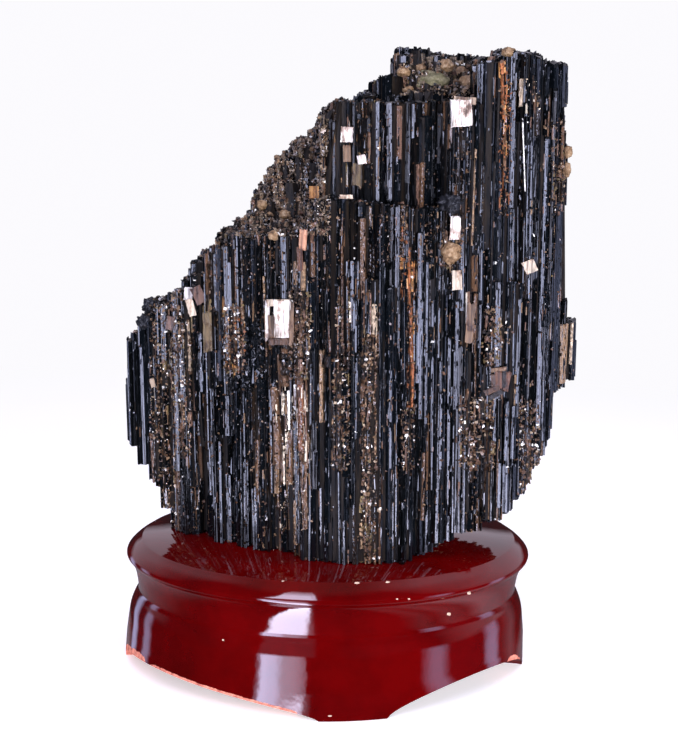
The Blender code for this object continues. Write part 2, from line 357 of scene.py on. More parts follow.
# The dark inside that shows in the cracks between the crystals
core = {
    "inset": 1.3,
    "edgeInset": 3.0,  # pixels
    "pattern": (900.0, 900.0, 90.0),
    "shades": ((0.35, (0.002, 0.002, 0.003)), (0.75, (0.02, 0.013, 0.008))),
    "roughness": 0.6,
    "depth": 0.0004,  # metres
}


def coreMaterial():
    material, tree, shader = newMaterial("dark_cracks")
    fine = noiseAt(tree, stoneCoordinates(tree, core["pattern"]))
    setInputs(
        tree, shader, Base_Color=ramp(tree, fine, core["shades"]), Roughness=core["roughness"],
        Normal=relief(tree, fine, 0.8, core["depth"]),
    )
    return material


def makeCore():
    mesh = solidMesh.copy()
    work = bmesh.new()
    work.from_mesh(mesh)
    bmesh.ops.remove_doubles(work, verts=work.verts, dist=0.01 * mm)
    work.normal_update()
    moves = [(corner, corner.normal.copy()) for corner in work.verts]
    for corner, outward in moves:
        corner.co -= outward * core["inset"] * mm
        place = toStone @ corner.co
        for side, way in (("left", 1.0), ("right", -1.0)):
            over = max(0.0, pastEdge(place, side) + core["edgeInset"])
            place.x += way * over * pixelSize(place)
        corner.co = stonePlace @ place
    work.to_mesh(mesh)
    work.free()
    mesh.materials.clear()
    mesh.materials.append(coreMaterial())
    piece = placeMesh("core_behind_crystals", mesh)
    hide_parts("tourmaline_crystal")


makeCore()
print("Core made")

tints = {
    "jet": (0.0013, 0.0016, 0.0020),
    "ink": (0.0022, 0.0032, 0.0048),
    "smoke": (0.006, 0.0068, 0.0088),
    "umber": (0.013, 0.008, 0.0055),
    "brown": (0.082, 0.043, 0.025),
    "tan": (0.18, 0.112, 0.070),
    "olive": (0.12, 0.085, 0.042),
    "sand": (0.33, 0.25, 0.19),
    "cream": (0.58, 0.50, 0.42),
    "white": (0.80, 0.77, 0.78),
    "rust": (0.19, 0.062, 0.022),
    "amber": (0.36, 0.17, 0.06),
    "rose": (0.12, 0.068, 0.052),
    "bronze": (0.105, 0.042, 0.020),
    "ash": (0.115, 0.085, 0.065),
    "honey": (0.80, 0.40, 0.13),
    "copper": (0.48, 0.25, 0.16),
}
blackTints = ("jet", "ink", "smoke")  # these shine, except where the stone is shaded


def shares(**counts):
    # Each colour as often as its share says
    return [name for name, count in counts.items() for _ in range(count)]


# How each kind of growth looks: its pieces' lengths, dullness, sway, grit and colours, and the strands
# that a thick crystal falls into
kinds = {
    "black": {
        "lengths": (12.0, 90.0), "dull": (0.03, 0.14), "sway": 0.4, "grit": (0.0, 0.06), "strands": 1,
        "tints": shares(jet=4, ink=4, smoke=1),
    },
    # Not a kind of growth but painted shade: dark, dull crystals for the recess above the front ledge, where
    # the overhang shades the stone
    "shaded": {
        "lengths": (12.0, 60.0), "dull": (0.25, 0.5), "sway": 0.5, "grit": (0.0, 0.1), "strands": 1,
        "tints": shares(jet=4, ink=1),
    },
    "knobbly": {
        "lengths": (2.5, 9.0), "dull": (0.05, 0.2), "sway": 4.0, "grit": (0.3, 0.8), "strands": 2,
        "tints": shares(jet=1, ink=2, smoke=1),
    },
    "mixed": {
        "lengths": (6.0, 34.0), "dull": (0.08, 0.3), "sway": 0.8, "grit": (0.1, 0.7), "strands": 2,
        "tints": shares(jet=3, ink=3, smoke=1, umber=3, brown=2, tan=1, rose=1),
    },
    "grainy": {
        "lengths": (2.0, 8.0), "dull": (0.2, 0.5), "sway": 4.0, "grit": (0.7, 1.0), "strands": 3,
        "tints": shares(umber=3, brown=2, tan=1, olive=1, rose=1, jet=1, ink=1),
    },
    "sandy": {
        "lengths": (2.0, 7.0), "dull": (0.25, 0.5), "sway": 6.0, "grit": (0.7, 1.0), "strands": 2,
        "tints": shares(umber=1, brown=1, ash=3, tan=1, olive=1, smoke=1),
    },
    "silky": {
        "lengths": (8.0, 26.0), "dull": (0.12, 0.3), "sway": 1.4, "grit": (0.2, 0.8), "strands": 3,
        "tints": shares(umber=2, brown=3, tan=1, rose=1, jet=1, cream=1),
    },
    "rusty": {
        "lengths": (2.0, 9.0), "dull": (0.25, 0.5), "sway": 2.0, "grit": (0.6, 1.0), "strands": 2,
        "tints": shares(rust=2, brown=2, umber=1, amber=1),
    },
    "olive": {
        "lengths": (4.0, 14.0), "dull": (0.25, 0.45), "sway": 1.5, "grit": (0.5, 0.9), "strands": 2,
        "tints": shares(olive=2, tan=1, brown=1, umber=1),
    },
    "layered": {
        "lengths": (1.0, 2.4), "dull": (0.2, 0.4), "sway": 3.0, "grit": (0.5, 1.0), "strands": 1,
        "tints": shares(umber=3, smoke=1, brown=1, jet=1),
    },
}

# Where each kind shows to the camera: left, right, top and bottom pixel, kind, and its share there
zones = (
    # The first zones are painted shade: dark, dull crystals in the recess above the front ledge, and black
    # crystals on the ledge's top where it lies in shade
    (325, 384, 182, 203, "shaded", 0.9), (384, 450, 168, 205, "shaded", 0.9),
    (311, 450, 190, 211, "black", 1.0), (222, 253, 392, 548, "black", 0.95),
    (196, 207, 330, 392, "black", 0.9), (209, 222, 388, 552, "black", 0.85),
    (127, 149, 345, 450, "black", 0.9), (325, 452, 93, 106, "black", 0.9),
    (388, 470, 38, 62, "black", 0.95), (470, 576, 40, 66, "black", 0.85),
    (400, 470, 62, 95, "sandy", 0.95), (325, 400, 60, 93, "black", 0.6),
    (266, 292, 341, 388, "layered", 0.9), (275, 311, 380, 530, "silky", 0.9),
    (288, 311, 292, 380, "grainy", 0.85), (333, 350, 300, 470, "grainy", 0.7),
    (362, 379, 336, 560, "grainy", 0.95), (402, 415, 407, 470, "grainy", 0.75),
    (459, 494, 397, 470, "grainy", 0.95), (484, 500, 306, 366, "grainy", 0.8),
    (466, 474, 300, 346, "silky", 0.9), (470, 486, 470, 540, "mixed", 0.8),
    (519, 539, 400, 500, "grainy", 0.85), (500, 512, 318, 345, "grainy", 0.6),
    (440, 463, 241, 268, "grainy", 0.9), (453, 476, 190, 245, "mixed", 0.8),
    (524, 540, 78, 130, "silky", 0.5), (173, 191, 287, 458, "grainy", 0.8),
    (150, 175, 300, 440, "grainy", 0.7), (158, 176, 440, 560, "grainy", 0.55),
    (191, 214, 300, 330, "olive", 0.7), (203, 213, 330, 392, "olive", 0.85),
    (223, 245, 305, 374, "rusty", 0.45), (223, 245, 305, 374, "grainy", 0.85),
    (246, 265, 322, 400, "knobbly", 0.9), (226, 246, 374, 394, "knobbly", 0.8),
    (244, 268, 440, 560, "mixed", 0.6), (311, 462, 211, 262, "mixed", 0.8),
    (311, 380, 262, 300, "mixed", 0.75), (400, 407, 215, 300, "rusty", 0.6),
    (407, 415, 262, 407, "rusty", 0.95), (338, 380, 120, 195, "olive", 0.5),
    (330, 400, 95, 190, "mixed", 0.7), (455, 475, 126, 200, "mixed", 0.85),
    # The recess zone on this line is painted shade too
    (400, 470, 95, 190, "mixed", 0.4), (325, 455, 106, 192, "shaded", 0.85),
    (499, 511, 60, 215, "rusty", 0.75), (511, 522, 60, 215, "mixed", 0.5),
    (552, 576, 120, 215, "grainy", 0.5), (540, 575, 120, 210, "mixed", 0.5),
    (225, 330, 100, 236, "sandy", 0.92), (150, 300, 225, 300, "mixed", 0.8),
    (191, 300, 300, 560, "mixed", 0.5), (150, 200, 440, 560, "mixed", 0.6),
    (311, 400, 300, 560, "mixed", 0.3), (400, 575, 200, 520, "mixed", 0.25),
)

growth = {
    "seed": 5,
    "left": -94.0, "right": 109.0, "front": -44.0, "back": 48.0,
    "columns": 21000,
    "tries": 5,
    "halfWidths": (0.34, 1.75),
    "thinning": 2.0,  # how much commoner thin crystals are
    "closeness": 0.84,  # of touching
    "across": (1.0, 1.3),  # how wide a crystal is against its place, and how deep against its width
    "deep": (0.72, 1.0),
    "leastLength": 2.0,
    "inset": 0.6,  # how far inside the solid's sides a crystal's middle stays, in half widths
    "thin": 0.9,  # crystals under this half width are rare
    "thinDepth": 7.0,  # further than this behind the front
    "thinShare": 0.12,
    "frontHeight": 60.0,  # where the front is measured
    "cover": 1.7,  # how deep the crystals lie that are made
    "edgeCover": 6.0,  # and at the outline's two edges
    "step": 3.0,
    "kindAbove": 2.0,  # how far above its foot a crystal's kind is looked up
    "hiddenStart": 7.0,
    "topCover": 9.0,  # the least length of an end that shows
    "gaps": (0.08, 0.4),
    "reliefs": (-0.4, 0.25),  # how far a crystal stands out from its place
    "endRise": (-1.0, 0.3),
    "flat": 0.6,  # a face that looks up this much belongs to the broken top
    "facing": 0.12,  # and one this much towards the camera takes its kind from the zones
    "sandyLeftOf": -3.0,
    "sandyShare": 0.8,
    "patches": (0.06, 0.016),  # of brown on the other sides, across and along the crystals
    "brownBelow": 0.20,
    "mixedBelow": 0.06,
    "strandedOver": 0.7,  # half width of a crystal that falls into strands
    "strandReach": 0.45,  # where its strands stand and how wide they are, in its half widths
    "strandWidth": 0.62,
    "strandLift": 0.6,
    "mirrorShare": (0.125, 0.035),  # how many thin and thick black crystals mirror the front window
    "mirrorWidth": 0.95,
    "windowBearing": -17.5,  # degrees
    "windowMiss": 2.5,
}


def columnSpans(u, v):
    # The heights between which an upright line runs inside the solid
    spans = []
    low = None
    height = -30.0
    while True:
        hit, outward, _, _ = solid.ray_cast(Vector((u, v, height)), upward, 400.0)
        if hit is None:
            return spans
        if outward.z < 0.0:
            low = hit.z if low is None else low
        elif low is not None:
            spans.append((low, hit.z))
            low = None
        height = hit.z + 0.05


def frontOf(u):
    # How far forward the solid reaches at one place from left to right
    start = Vector((u, -200.0, growth["frontHeight"]))
    hit, _, _, _ = solid.ray_cast(start, Vector((0.0, 1.0, 0.0)), 400.0)
    return hit.y if hit else growth["back"]


def standsInside(u, v, width):
    reach = growth["inset"] * width
    return all(columnSpans(u + reach * x, v + reach * y) for x, y in ((1, 0), (-1, 0), (0, 1), (0, -1)))


def growColumns(dice):
    # Middles of the crystals in plan, the thick ones first, none too close to another
    low, high = growth["halfWidths"]
    widths = [low + (high - low) * dice.random() ** growth["thinning"] for _ in range(growth["columns"])]
    cell = 2.0 * high
    fronts = {u: frontOf(u) for u in range(int(growth["left"]), int(growth["right"]) + 1)}
    grid, columns = {}, []
    for width in sorted(widths, reverse=True):
        for _ in range(growth["tries"]):
            u = dice.uniform(growth["left"], growth["right"])
            v = dice.uniform(growth["front"], growth["back"])
            deep = v - fronts[int(u)] > growth["thinDepth"]
            if deep and width < growth["thin"] and dice.random() > growth["thinShare"]:
                continue
            column, row = int(u // cell), int(v // cell)
            near = (
                other
                for i in (column - 1, column, column + 1)
                for j in (row - 1, row, row + 1)
                for other in grid.get((i, j), ())
            )
            if any(
                (u - a) ** 2 + (v - b) ** 2 < (growth["closeness"] * (width + c)) ** 2 for a, b, c in near
            ):
                continue
            spans = columnSpans(u, v)
            if not spans or not standsInside(u, v, width):
                continue
            grid.setdefault((column, row), []).append((u, v, width))
            columns.append((u, v, width, spans))
            break
    return columns


def brownness(point):
    # How brown the stone is at a place that the camera doesn't see
    across, along = growth["patches"]
    return noise.noise(Vector((point.x * across, point.y * across, point.z * along)))


def kindAt(point, outward, dice):
    flat = outward.z > growth["flat"]
    if flat and point.x < growth["sandyLeftOf"]:
        return "sandy" if dice.random() < growth["sandyShare"] else "knobbly"
    if flat or outward.dot(toCamera(point)) > growth["facing"]:
        x, y = pixelOf(point)
        for left, right, top, bottom, kind, share in zones:
            if left < x < right and top < y < bottom and dice.random() < share:
                return kind
        return "black"
    brown = brownness(point)
    if brown > growth["brownBelow"]:
        return "grainy"
    return "mixed" if brown > growth["mixedBelow"] else "black"


def shownRuns(u, v, width, low, high):
    # The stretches of a column that lie close under the surface
    step = growth["step"]
    count = max(1, int((high - low) / step))
    runs, start = [], None
    for i in range(count + 1):
        height = low + (high - low) * i / count
        middle = Vector((u, v, height))
        reach, past = width + growth["cover"], False
        for side, way in (("left", -1.0), ("right", 1.0)):
            past = past or pastEdge(middle + Vector((way * width, 0.0, 0.0)), side) > 0.0
            if pastEdge(middle + Vector((way * growth["edgeCover"], 0.0, 0.0)), side) > 0.0:
                reach = width + growth["edgeCover"]
        _, _, _, depth = solid.find_nearest(middle, reach)
        shown = depth is not None and not past
        if shown and start is None:
            start = max(low, height - step)
        if not shown and start is not None:
            runs.append((start, height))
            start = None
    if start is not None:
        runs.append((min(start, max(low, high - growth["topCover"])), high))
    return runs


def mirrorTurn(base, form, across, deep, dice):
    # The turn at which a crystal's widest face mirrors the front window to the camera
    view = cameraInStone - base
    window = math.radians(growth["windowBearing"] + dice.gauss(0.0, growth["windowMiss"]))
    aim = 0.5 * (math.atan2(view.x, -view.y) + window)
    face = widestFaces[form]
    unturned = math.atan2(math.sin(face) / deep, math.cos(face) / across)
    return math.atan2(-math.cos(aim), math.sin(aim)) - unturned


def crystalAt(base, length, width, kind, outward, dice, tint=None, mirrors=None):
    # One crystal as a row of facts for the scatter
    look = kinds[kind]
    tint = tint or dice.choice(look["tints"])
    # Black crystals in the painted shade of the recess keep its dull finish
    finish = kinds["black"] if tint in blackTints and kind != "shaded" else look
    form = dice.randrange(formCount)
    form += formCount * sum(length > times * width for times in crystalForms["slender"])
    sway = math.radians(look["sway"])
    across = width * dice.uniform(*growth["across"])
    deep = across * dice.uniform(*growth["deep"])
    spin = dice.uniform(0.0, 2.0 * math.pi)
    share = growth["mirrorShare"][0 if width < growth["mirrorWidth"] else 1]
    if mirrors or (mirrors is None and kind == "black" and dice.random() < share):
        spin = mirrorTurn(base, form, across, deep, dice)
    return {
        "place": base,
        "turn": (dice.gauss(0.0, sway), dice.gauss(0.0, sway), spin),
        "size": (across, deep, length),
        "form": form,
        "tint": tints[tint],
        "dull": dice.uniform(*finish["dull"]),
        "grit": dice.uniform(*finish["grit"]),
        "side": "front" if outward.dot(toCamera(base)) > 0.0 else "back",
    }


def strandsAt(base, length, width, kind, outward, dice):
    # A thick crystal of a brown kind falls into a few thin ones side by side
    strands = kinds[kind]["strands"] if width > growth["strandedOver"] else 1
    if strands == 1:
        return [crystalAt(base, length, width, kind, outward, dice)]
    rows = []
    for i in range(strands):
        angle = 2.0 * math.pi * (i + dice.random()) / strands
        side = Vector((math.cos(angle), math.sin(angle), 0.0)) * growth["strandReach"] * width
        start = base + side + upward * dice.uniform(-growth["strandLift"], growth["strandLift"])
        rows.append(crystalAt(start, length, growth["strandWidth"] * width, kind, outward, dice))
    return rows


def growCrystals(dice):
    crystals = []
    for u, v, width, spans in growColumns(dice):
        for low, high in spans:
            for start, end in shownRuns(u, v, width, low, high):
                height = start
                if end > high - 0.1:
                    end = high + dice.uniform(*growth["endRise"])
                while height < end - 0.5 * growth["leastLength"]:
                    # A crystal that starts inside the stone takes its kind from further up, where it shows
                    above = growth["hiddenStart"] if height == start > low + 1.0 else growth["kindAbove"]
                    middle = Vector((u, v, min(height + above, 0.5 * (height + end))))
                    _, outward, _, _ = solid.find_nearest(middle)
                    kind = kindAt(middle, outward, dice)
                    length = dice.uniform(*kinds[kind]["lengths"])
                    if end - height - length < growth["leastLength"]:
                        length = end - height
                    flat = Vector((outward.x, outward.y, 0.0)) * dice.uniform(*growth["reliefs"])
                    base = Vector((u, v, height)) + flat
                    crystals += strandsAt(base, length, width, kind, outward, dice)
                    height += length + dice.uniform(*growth["gaps"])
    return crystals


# Crystals that stand out to the camera: middle and width, top and bottom pixel, colour, how far they
# stand out of the face, and their kind where it isn't black or silky, as the colour says
featureCrystals = (
    (145, 7.0, 345, 560, "ink", 0.8), (133, 6.0, 352, 540, "jet", 0.6), (139, 5.0, 350, 500, "jet", 0.9),
    (201, 6.0, 332, 392, "ink", 0.9), (197, 3.5, 332, 430, "jet", 1.1), (228, 7.0, 395, 470, "ink", 1.2),
    (229, 6.0, 473, 552, "ink", 1.1), (238, 7.0, 372, 540, "jet", 1.4), (246, 5.0, 400, 548, "ink", 1.0),
    (215, 7.0, 388, 556, "jet", 0.9), (221, 4.0, 440, 556, "ink", 1.0), (230, 5.0, 262, 310, "ink", 0.8),
    (355, 7.0, 300, 352, "ink", 0.9), (361, 5.0, 300, 352, "jet", 1.0),
    (357, 6.0, 356, 440, "smoke", 0.8), (391, 5.0, 350, 470, "ink", 0.9),
    (398, 8.0, 310, 480, "jet", 0.7), (421, 6.0, 300, 420, "ink", 1.0), (427, 5.0, 262, 425, "ink", 1.1),
    (441, 5.0, 392, 470, "ink", 0.8), (433, 6.0, 300, 520, "jet", 0.5), (450, 8.0, 310, 520, "jet", 0.6),
    (456, 4.0, 300, 410, "ink", 0.8), (506, 8.0, 400, 459, "ink", 1.6), (506, 8.0, 462, 512, "ink", 1.6),
    (499, 6.0, 398, 459, "jet", 1.8), (499, 6.0, 462, 508, "ink", 1.6), (513, 6.0, 405, 459, "ink", 1.2),
    (513, 6.0, 462, 500, "jet", 1.2), (487, 7.0, 250, 366, "jet", 0.8), (480, 5.0, 250, 300, "ink", 1.0),
    (480, 5.0, 304, 366, "jet", 1.0), (523, 6.0, 300, 430, "jet", 0.8), (532, 5.0, 280, 430, "jet", 0.9),
    (545, 7.0, 230, 450, "ink", 0.9), (552, 6.0, 215, 430, "jet", 1.0),
    (571, 3.0, 308, 364, "sand", 1.2), (190, 4.5, 320, 371, "sand", 0.9),
    (208, 5.0, 312, 352, "olive", 0.8, "olive"), (374, 6.0, 305, 336, "sand", 1.0),
    (350, 3.0, 302, 322, "cream", 0.9), (303, 6.0, 236, 290, "tan", 1.2, "rusty"),
    (408, 2.5, 212, 250, "brown", 1.0, "rusty"), (409, 3.5, 248, 276, "rust", 1.3, "rusty"),
    (409, 3.5, 274, 304, "rust", 1.4, "rusty"), (411, 3.0, 304, 330, "rust", 1.1, "rusty"),
    (412, 3.5, 330, 362, "rust", 1.1, "rusty"), (412, 3.0, 362, 407, "rust", 1.2, "rusty"),
    (407, 3.0, 230, 262, "ink", 1.2), (414, 2.5, 300, 400, "ink", 1.2),
    (472.5, 3.0, 150, 245, "tan", 0.9), (504, 3.0, 72, 118, "rust", 0.9, "rusty"),
    (505, 3.0, 138, 170, "brown", 0.9, "rusty"), (526, 1.6, 120, 190, "white", 0.8),
    (521, 6.0, 80, 106, "sand", 0.9), (279, 8.0, 386, 470, "brown", 1.1),
    (290, 8.0, 432, 520, "brown", 1.2), (301, 8.0, 384, 452, "bronze", 1.0),
    (305, 7.0, 460, 530, "brown", 1.0), (282, 7.0, 476, 540, "bronze", 1.1),
    (296, 6.0, 500, 545, "tan", 1.0), (289, 2.4, 390, 430, "white", 0.9),
    (295, 3.0, 384, 414, "white", 1.1), (298, 3.2, 408, 436, "white", 0.9),
    (305, 2.0, 440, 478, "cream", 0.8), (284, 2.0, 444, 486, "cream", 0.9),
)


def surfaceAt(x, y, tree=None):
    # Where a pixel meets the stone, in its own frame, and which way that place faces
    hit, outward, _, _ = (tree or solid).ray_cast(cameraInStone, stoneRay(x, y), 2000.0)
    return hit, outward


def growFeatures(dice):
    crystals = []
    for x, across, top, bottom, tint, proud, *kind in featureCrystals:
        kind = kind[0] if kind else "black" if tint in blackTints else "silky"
        hit, outward = surfaceAt(x, 0.5 * (top + bottom))
        if hit is None:
            continue
        size = pixelSize(hit)
        width = 0.5 * across * size
        forward = toCamera(hit)
        level = Vector((forward.x, forward.y, 0.0)).normalized()
        inside = hit - level * width
        spans = [span for span in columnSpans(inside.x, inside.y) if span[0] < hit.z < span[1]]
        if not spans:
            continue
        low = max(spans[0][0], hit.z - 0.5 * (bottom - top) * size)
        high = min(spans[0][1], hit.z + 0.5 * (bottom - top) * size)
        base = Vector((hit.x, hit.y, low)) + level * (proud - width)
        crystals.append(crystalAt(base, high - low, width / 1.1, kind, forward, dice, tint, tint == "ink"))
    return crystals


formCount = 8  # of each length
crystalForms = {
    "seed": 21,
    "slender": (6.0, 18.0),  # the middle and the long forms are for crystals this many half widths long
    "tips": (0.22, 0.07, 0.015),  # how much of a crystal's length its chipped ends take, short ones first
    "sides": (5, 5, 6, 6, 7, 8),
    "swell": (0.82, 1.12),
}
widestFaces = []  # which way each form's widest face looks, in the order of the forms


def newForm(name, points, faces):
    mesh = bpy.data.meshes.new(name)
    mesh.from_pydata(points, [], faces)
    return bpy.data.objects.new(name, mesh)


def crystalForm(name, tip, dice):
    # An uneven prism one unit long and about one unit in radius, with chipped ends
    sides = dice.choice(crystalForms["sides"])
    angles = [(i + dice.uniform(-0.28, 0.28)) / sides * 2.0 * math.pi for i in range(sides)]
    swells = [dice.uniform(*crystalForms["swell"]) for _ in range(sides)]
    points, faces = [], []
    for height, shrink, rag in ((0.0, 0.95, 0.4), (1.0 - tip, 1.0, 0.0), (1.0, 0.82, 0.7)):
        drift = dice.uniform(0.97, 1.03)
        slope = dice.uniform(0.0, 2.0 * math.pi)
        for angle, swell in zip(angles, swells):
            lift = rag * tip * (0.5 * math.cos(angle - slope) + dice.uniform(-0.4, 0.4))
            radius = swell * shrink * drift
            points.append((radius * math.cos(angle), radius * math.sin(angle), height + lift))
    for ring in range(2):
        for i in range(sides):
            j = (i + 1) % sides
            a, b = ring * sides, (ring + 1) * sides
            faces.append((a + i, a + j, b + j, b + i))
    points += [(0.0, 0.0, 0.02 * tip), (dice.uniform(-0.2, 0.2), dice.uniform(-0.2, 0.2), 1.0)]
    for i in range(sides):
        j = (i + 1) % sides
        faces.append((3 * sides, j, i))
        faces.append((3 * sides + 1, 2 * sides + i, 2 * sides + j))
    corners = [Vector(points[sides + i]).xy for i in range(sides)]
    edges = [corners[(i + 1) % sides] - corners[i] for i in range(sides)]
    widest = max(edges, key=lambda edge: edge.length)
    widestFaces.append(math.atan2(-widest.x, widest.y))
    return newForm(name, points, faces)


def grainForm(name, flatness, dice):
    # A chipped block or flake of 12 faces
    corners = [
        (x * dice.uniform(0.55, 1.1), y * dice.uniform(0.55, 1.1), z * flatness * dice.uniform(0.6, 1.1))
        for z in (-1, 1) for x, y in ((-1, -1), (1, -1), (1, 1), (-1, 1))
    ]
    faces = []
    for a, b, c, d in ((3, 2, 1, 0), (4, 5, 6, 7), (0, 1, 5, 4), (1, 2, 6, 5), (2, 3, 7, 6), (3, 0, 4, 7)):
        faces += [(a, b, c), (a, c, d)]
    return newForm(name, corners, faces)


def scatterTree():
    # Puts one of the forms on each point, turned, sized and coloured by the point's attributes
    tree = bpy.data.node_groups.new("scatter_forms", "GeometryNodeTree")
    for name, kind in (("Points", "Geometry"), ("Forms", "Collection"), ("Finish", "Material")):
        tree.interface.new_socket(name, in_out="INPUT", socket_type="NodeSocket" + kind)
    tree.interface.new_socket("Pieces", in_out="OUTPUT", socket_type="NodeSocketGeometry")
    given = addNode(tree, "NodeGroupInput").outputs
    forms = addNode(tree, "GeometryNodeCollectionInfo", Collection=given["Forms"])
    forms.inputs["Separate Children"].default_value = True
    forms.inputs["Reset Children"].default_value = True
    form, turn, size = (
        addNode(tree, "GeometryNodeInputNamedAttribute", {"data_type": kind}, Name=name).outputs["Attribute"]
        for name, kind in (("form", "INT"), ("turn", "FLOAT_VECTOR"), ("size", "FLOAT_VECTOR"))
    )
    rotation = addNode(tree, "FunctionNodeEulerToRotation", Euler=turn)
    placed = addNode(
        tree, "GeometryNodeInstanceOnPoints", Points=given["Points"], Instance=forms.outputs[0],
        Pick_Instance=True, Instance_Index=form, Rotation=rotation.outputs[0], Scale=size,
    )
    real = addNode(tree, "GeometryNodeRealizeInstances", Geometry=placed.outputs[0])
    finished = addNode(tree, "GeometryNodeSetMaterial", Geometry=real.outputs[0], Material=given["Finish"])
    addNode(tree, "NodeGroupOutput", Pieces=finished.outputs[0])
    return tree


def collect(name, forms):
    collection = bpy.data.collections.new(name)
    for form in forms:
        collection.objects.link(form)
    return collection


def scatter(name, rows, forms, material):
    # Makes the rows real, as one plain mesh in the stone's frame
    mesh = bpy.data.meshes.new(name + "_points")
    mesh.from_pydata([row["place"] for row in rows], [], [])
    for key, kind, slot in (
        ("form", "INT", "value"), ("turn", "FLOAT_VECTOR", "vector"), ("size", "FLOAT_VECTOR", "vector"),
        ("tint", "FLOAT_COLOR", "color"), ("dull", "FLOAT", "value"), ("grit", "FLOAT", "value"),
    ):
        values = []
        for row in rows:
            value = row[key]
            values += (*value, 1.0) if key == "tint" else value if slot == "vector" else (value,)
        mesh.attributes.new(key, kind, "POINT").data.foreach_set(slot, values)
    holder = bpy.data.objects.new(name + "_points", mesh)
    link(holder)
    modifier = holder.modifiers.new("scatter", "NODES")
    modifier.node_group = scattering
    sockets = {item.name: item.identifier for item in scattering.interface.items_tree}
    modifier[sockets["Forms"]] = forms
    modifier[sockets["Finish"]] = material
    graph = bpy.context.evaluated_depsgraph_get()
    made = bpy.data.meshes.new_from_object(
        holder.evaluated_get(graph), preserve_all_data_layers=True, depsgraph=graph,
    )
    made.name = name
    bpy.data.objects.remove(holder)
    print("  ", name, len(rows), "pieces", len(made.loops) - 2 * len(made.polygons), "triangles")
    return made


scattering = scatterTree()


def makeForms():
    dice = random.Random(crystalForms["seed"])
    crystalSet = [
        crystalForm(f"crystal_{length}_{i}", tip, dice)
        for length, tip in enumerate(crystalForms["tips"])
        for i in range(formCount)
    ]
    grainSet = [grainForm(f"grain_{i}", 0.35 + 0.08 * i, dice) for i in range(formCount)]
    return collect("crystal_forms", crystalSet), collect("grain_forms", grainSet)


crystalSet, grainSet = makeForms()
crystalFaces = crystalMaterial()


def makeCrystals():
    dice = random.Random(growth["seed"])
    rows = growCrystals(dice) + growFeatures(dice)
    third = (growth["right"] - growth["left"]) / 3.0
    parts = {}
    for row in rows:
        place = int((row["place"].x - growth["left"]) / third)
        side = ("left", "middle", "right")[max(0, min(2, place))]
        parts.setdefault(f"crystals_{row['side']}_{side}", []).append(row)
    return [scatter(name, parts[name], crystalSet, crystalFaces) for name in sorted(parts)]


crystalMeshes = makeCrystals()
print("Crystals grown")


def surfaceTree(meshes):
    points, faces = [], []
    for mesh in meshes:
        first = len(points)
        points += [corner.co.copy() for corner in mesh.vertices]
        faces += [tuple(first + i for i in face.vertices) for face in mesh.polygons]
    return BVHTree.FromPolygons(points, faces)


grown = surfaceTree(crystalMeshes)

# Mica and feldspar grains: how big, how thick on the ground to the pixel, and their colours
grains = {
    "seed": 31,
    "grainy": {
        "sizes": (0.2, 0.95), "density": 0.30, "dull": (0.12, 0.5),
        "tints": shares(umber=3, brown=5, tan=2, rose=2, olive=1, ink=1, sand=1),
    },
    "sandy": {
        "sizes": (0.22, 1.0), "density": 0.50, "dull": (0.1, 0.45),
        "tints": shares(umber=2, brown=1, ash=4, tan=2, sand=1, rose=1, jet=1, ink=1),
    },
    "knobbly": {
        "sizes": (0.35, 1.3), "density": 0.2, "dull": (0.12, 0.3),
        "tints": shares(jet=2, ink=2, smoke=1),
    },
    "mixed": {
        "sizes": (0.18, 0.75), "density": 0.07, "dull": (0.1, 0.4),
        "tints": shares(umber=3, brown=3, tan=1, rose=1, ink=2),
    },
    "silky": {
        "sizes": (0.18, 0.6), "density": 0.08, "dull": (0.1, 0.3),
        "tints": shares(umber=1, brown=1, tan=1, sand=1, cream=1),
    },
    "rusty": {
        "sizes": (0.22, 0.8), "density": 0.2, "dull": (0.3, 0.6),
        "tints": shares(rust=2, brown=1, tan=1, umber=1, jet=1),
    },
    "smallness": 2.2,  # how much commoner small grains are
    "sunk": 0.25,  # how far a grain's middle lies in the crystal, in its half lengths
    "across": (0.6, 1.0),
    "thick": (0.5, 1.0),
    "tumble": 0.5,  # radians
    "parting": -15.0,  # between the left and the right piece
    # How many are bright white flakes: partly white mineral specks, partly painted glints of mica and
    # feldspar
    "whiteSpecksAndGlints": {
        "grainy": 0.055, "sandy": 0.03, "knobbly": 0.0, "mixed": 0.02, "silky": 0.06, "rusty": 0.02,
    },
    "fromAbove": 14000,  # tries on the broken top
    "aboveBox": ((-92.0, 104.0), (-42.0, 46.0)),
    "roundAbout": 15000,  # tries on the sides away from the camera
    "aims": ((-80.0, 95.0), (-5.0, 30.0), (2.0, 200.0)),
    "brownSpill": 0.04,  # how far these reach past the brown patches
    "mixedShare": 0.3,
}


def grainAt(hit, outward, kind, dice):
    look = grains[kind]
    low, high = look["sizes"]
    size = low + (high - low) * dice.random() ** grains["smallness"]
    tilt = outward.to_track_quat("Z", "Y").to_euler()
    return {
        "place": hit - outward * grains["sunk"] * size,
        "turn": (
            tilt.x + dice.gauss(0.0, grains["tumble"]), tilt.y + dice.gauss(0.0, grains["tumble"]),
            dice.uniform(0.0, 6.28),
        ),
        "size": (size, size * dice.uniform(*grains["across"]), size * dice.uniform(*grains["thick"])),
        "form": dice.randrange(formCount),
        "front": outward.dot(toCamera(hit)) > 0.0,
        # A white flake is partly a white speck and partly a painted glint
        "tint": tints["white" if dice.random() < grains["whiteSpecksAndGlints"][kind] else dice.choice(look["tints"])],
        "dull": dice.uniform(*look["dull"]),
        "grit": 0.0,
    }


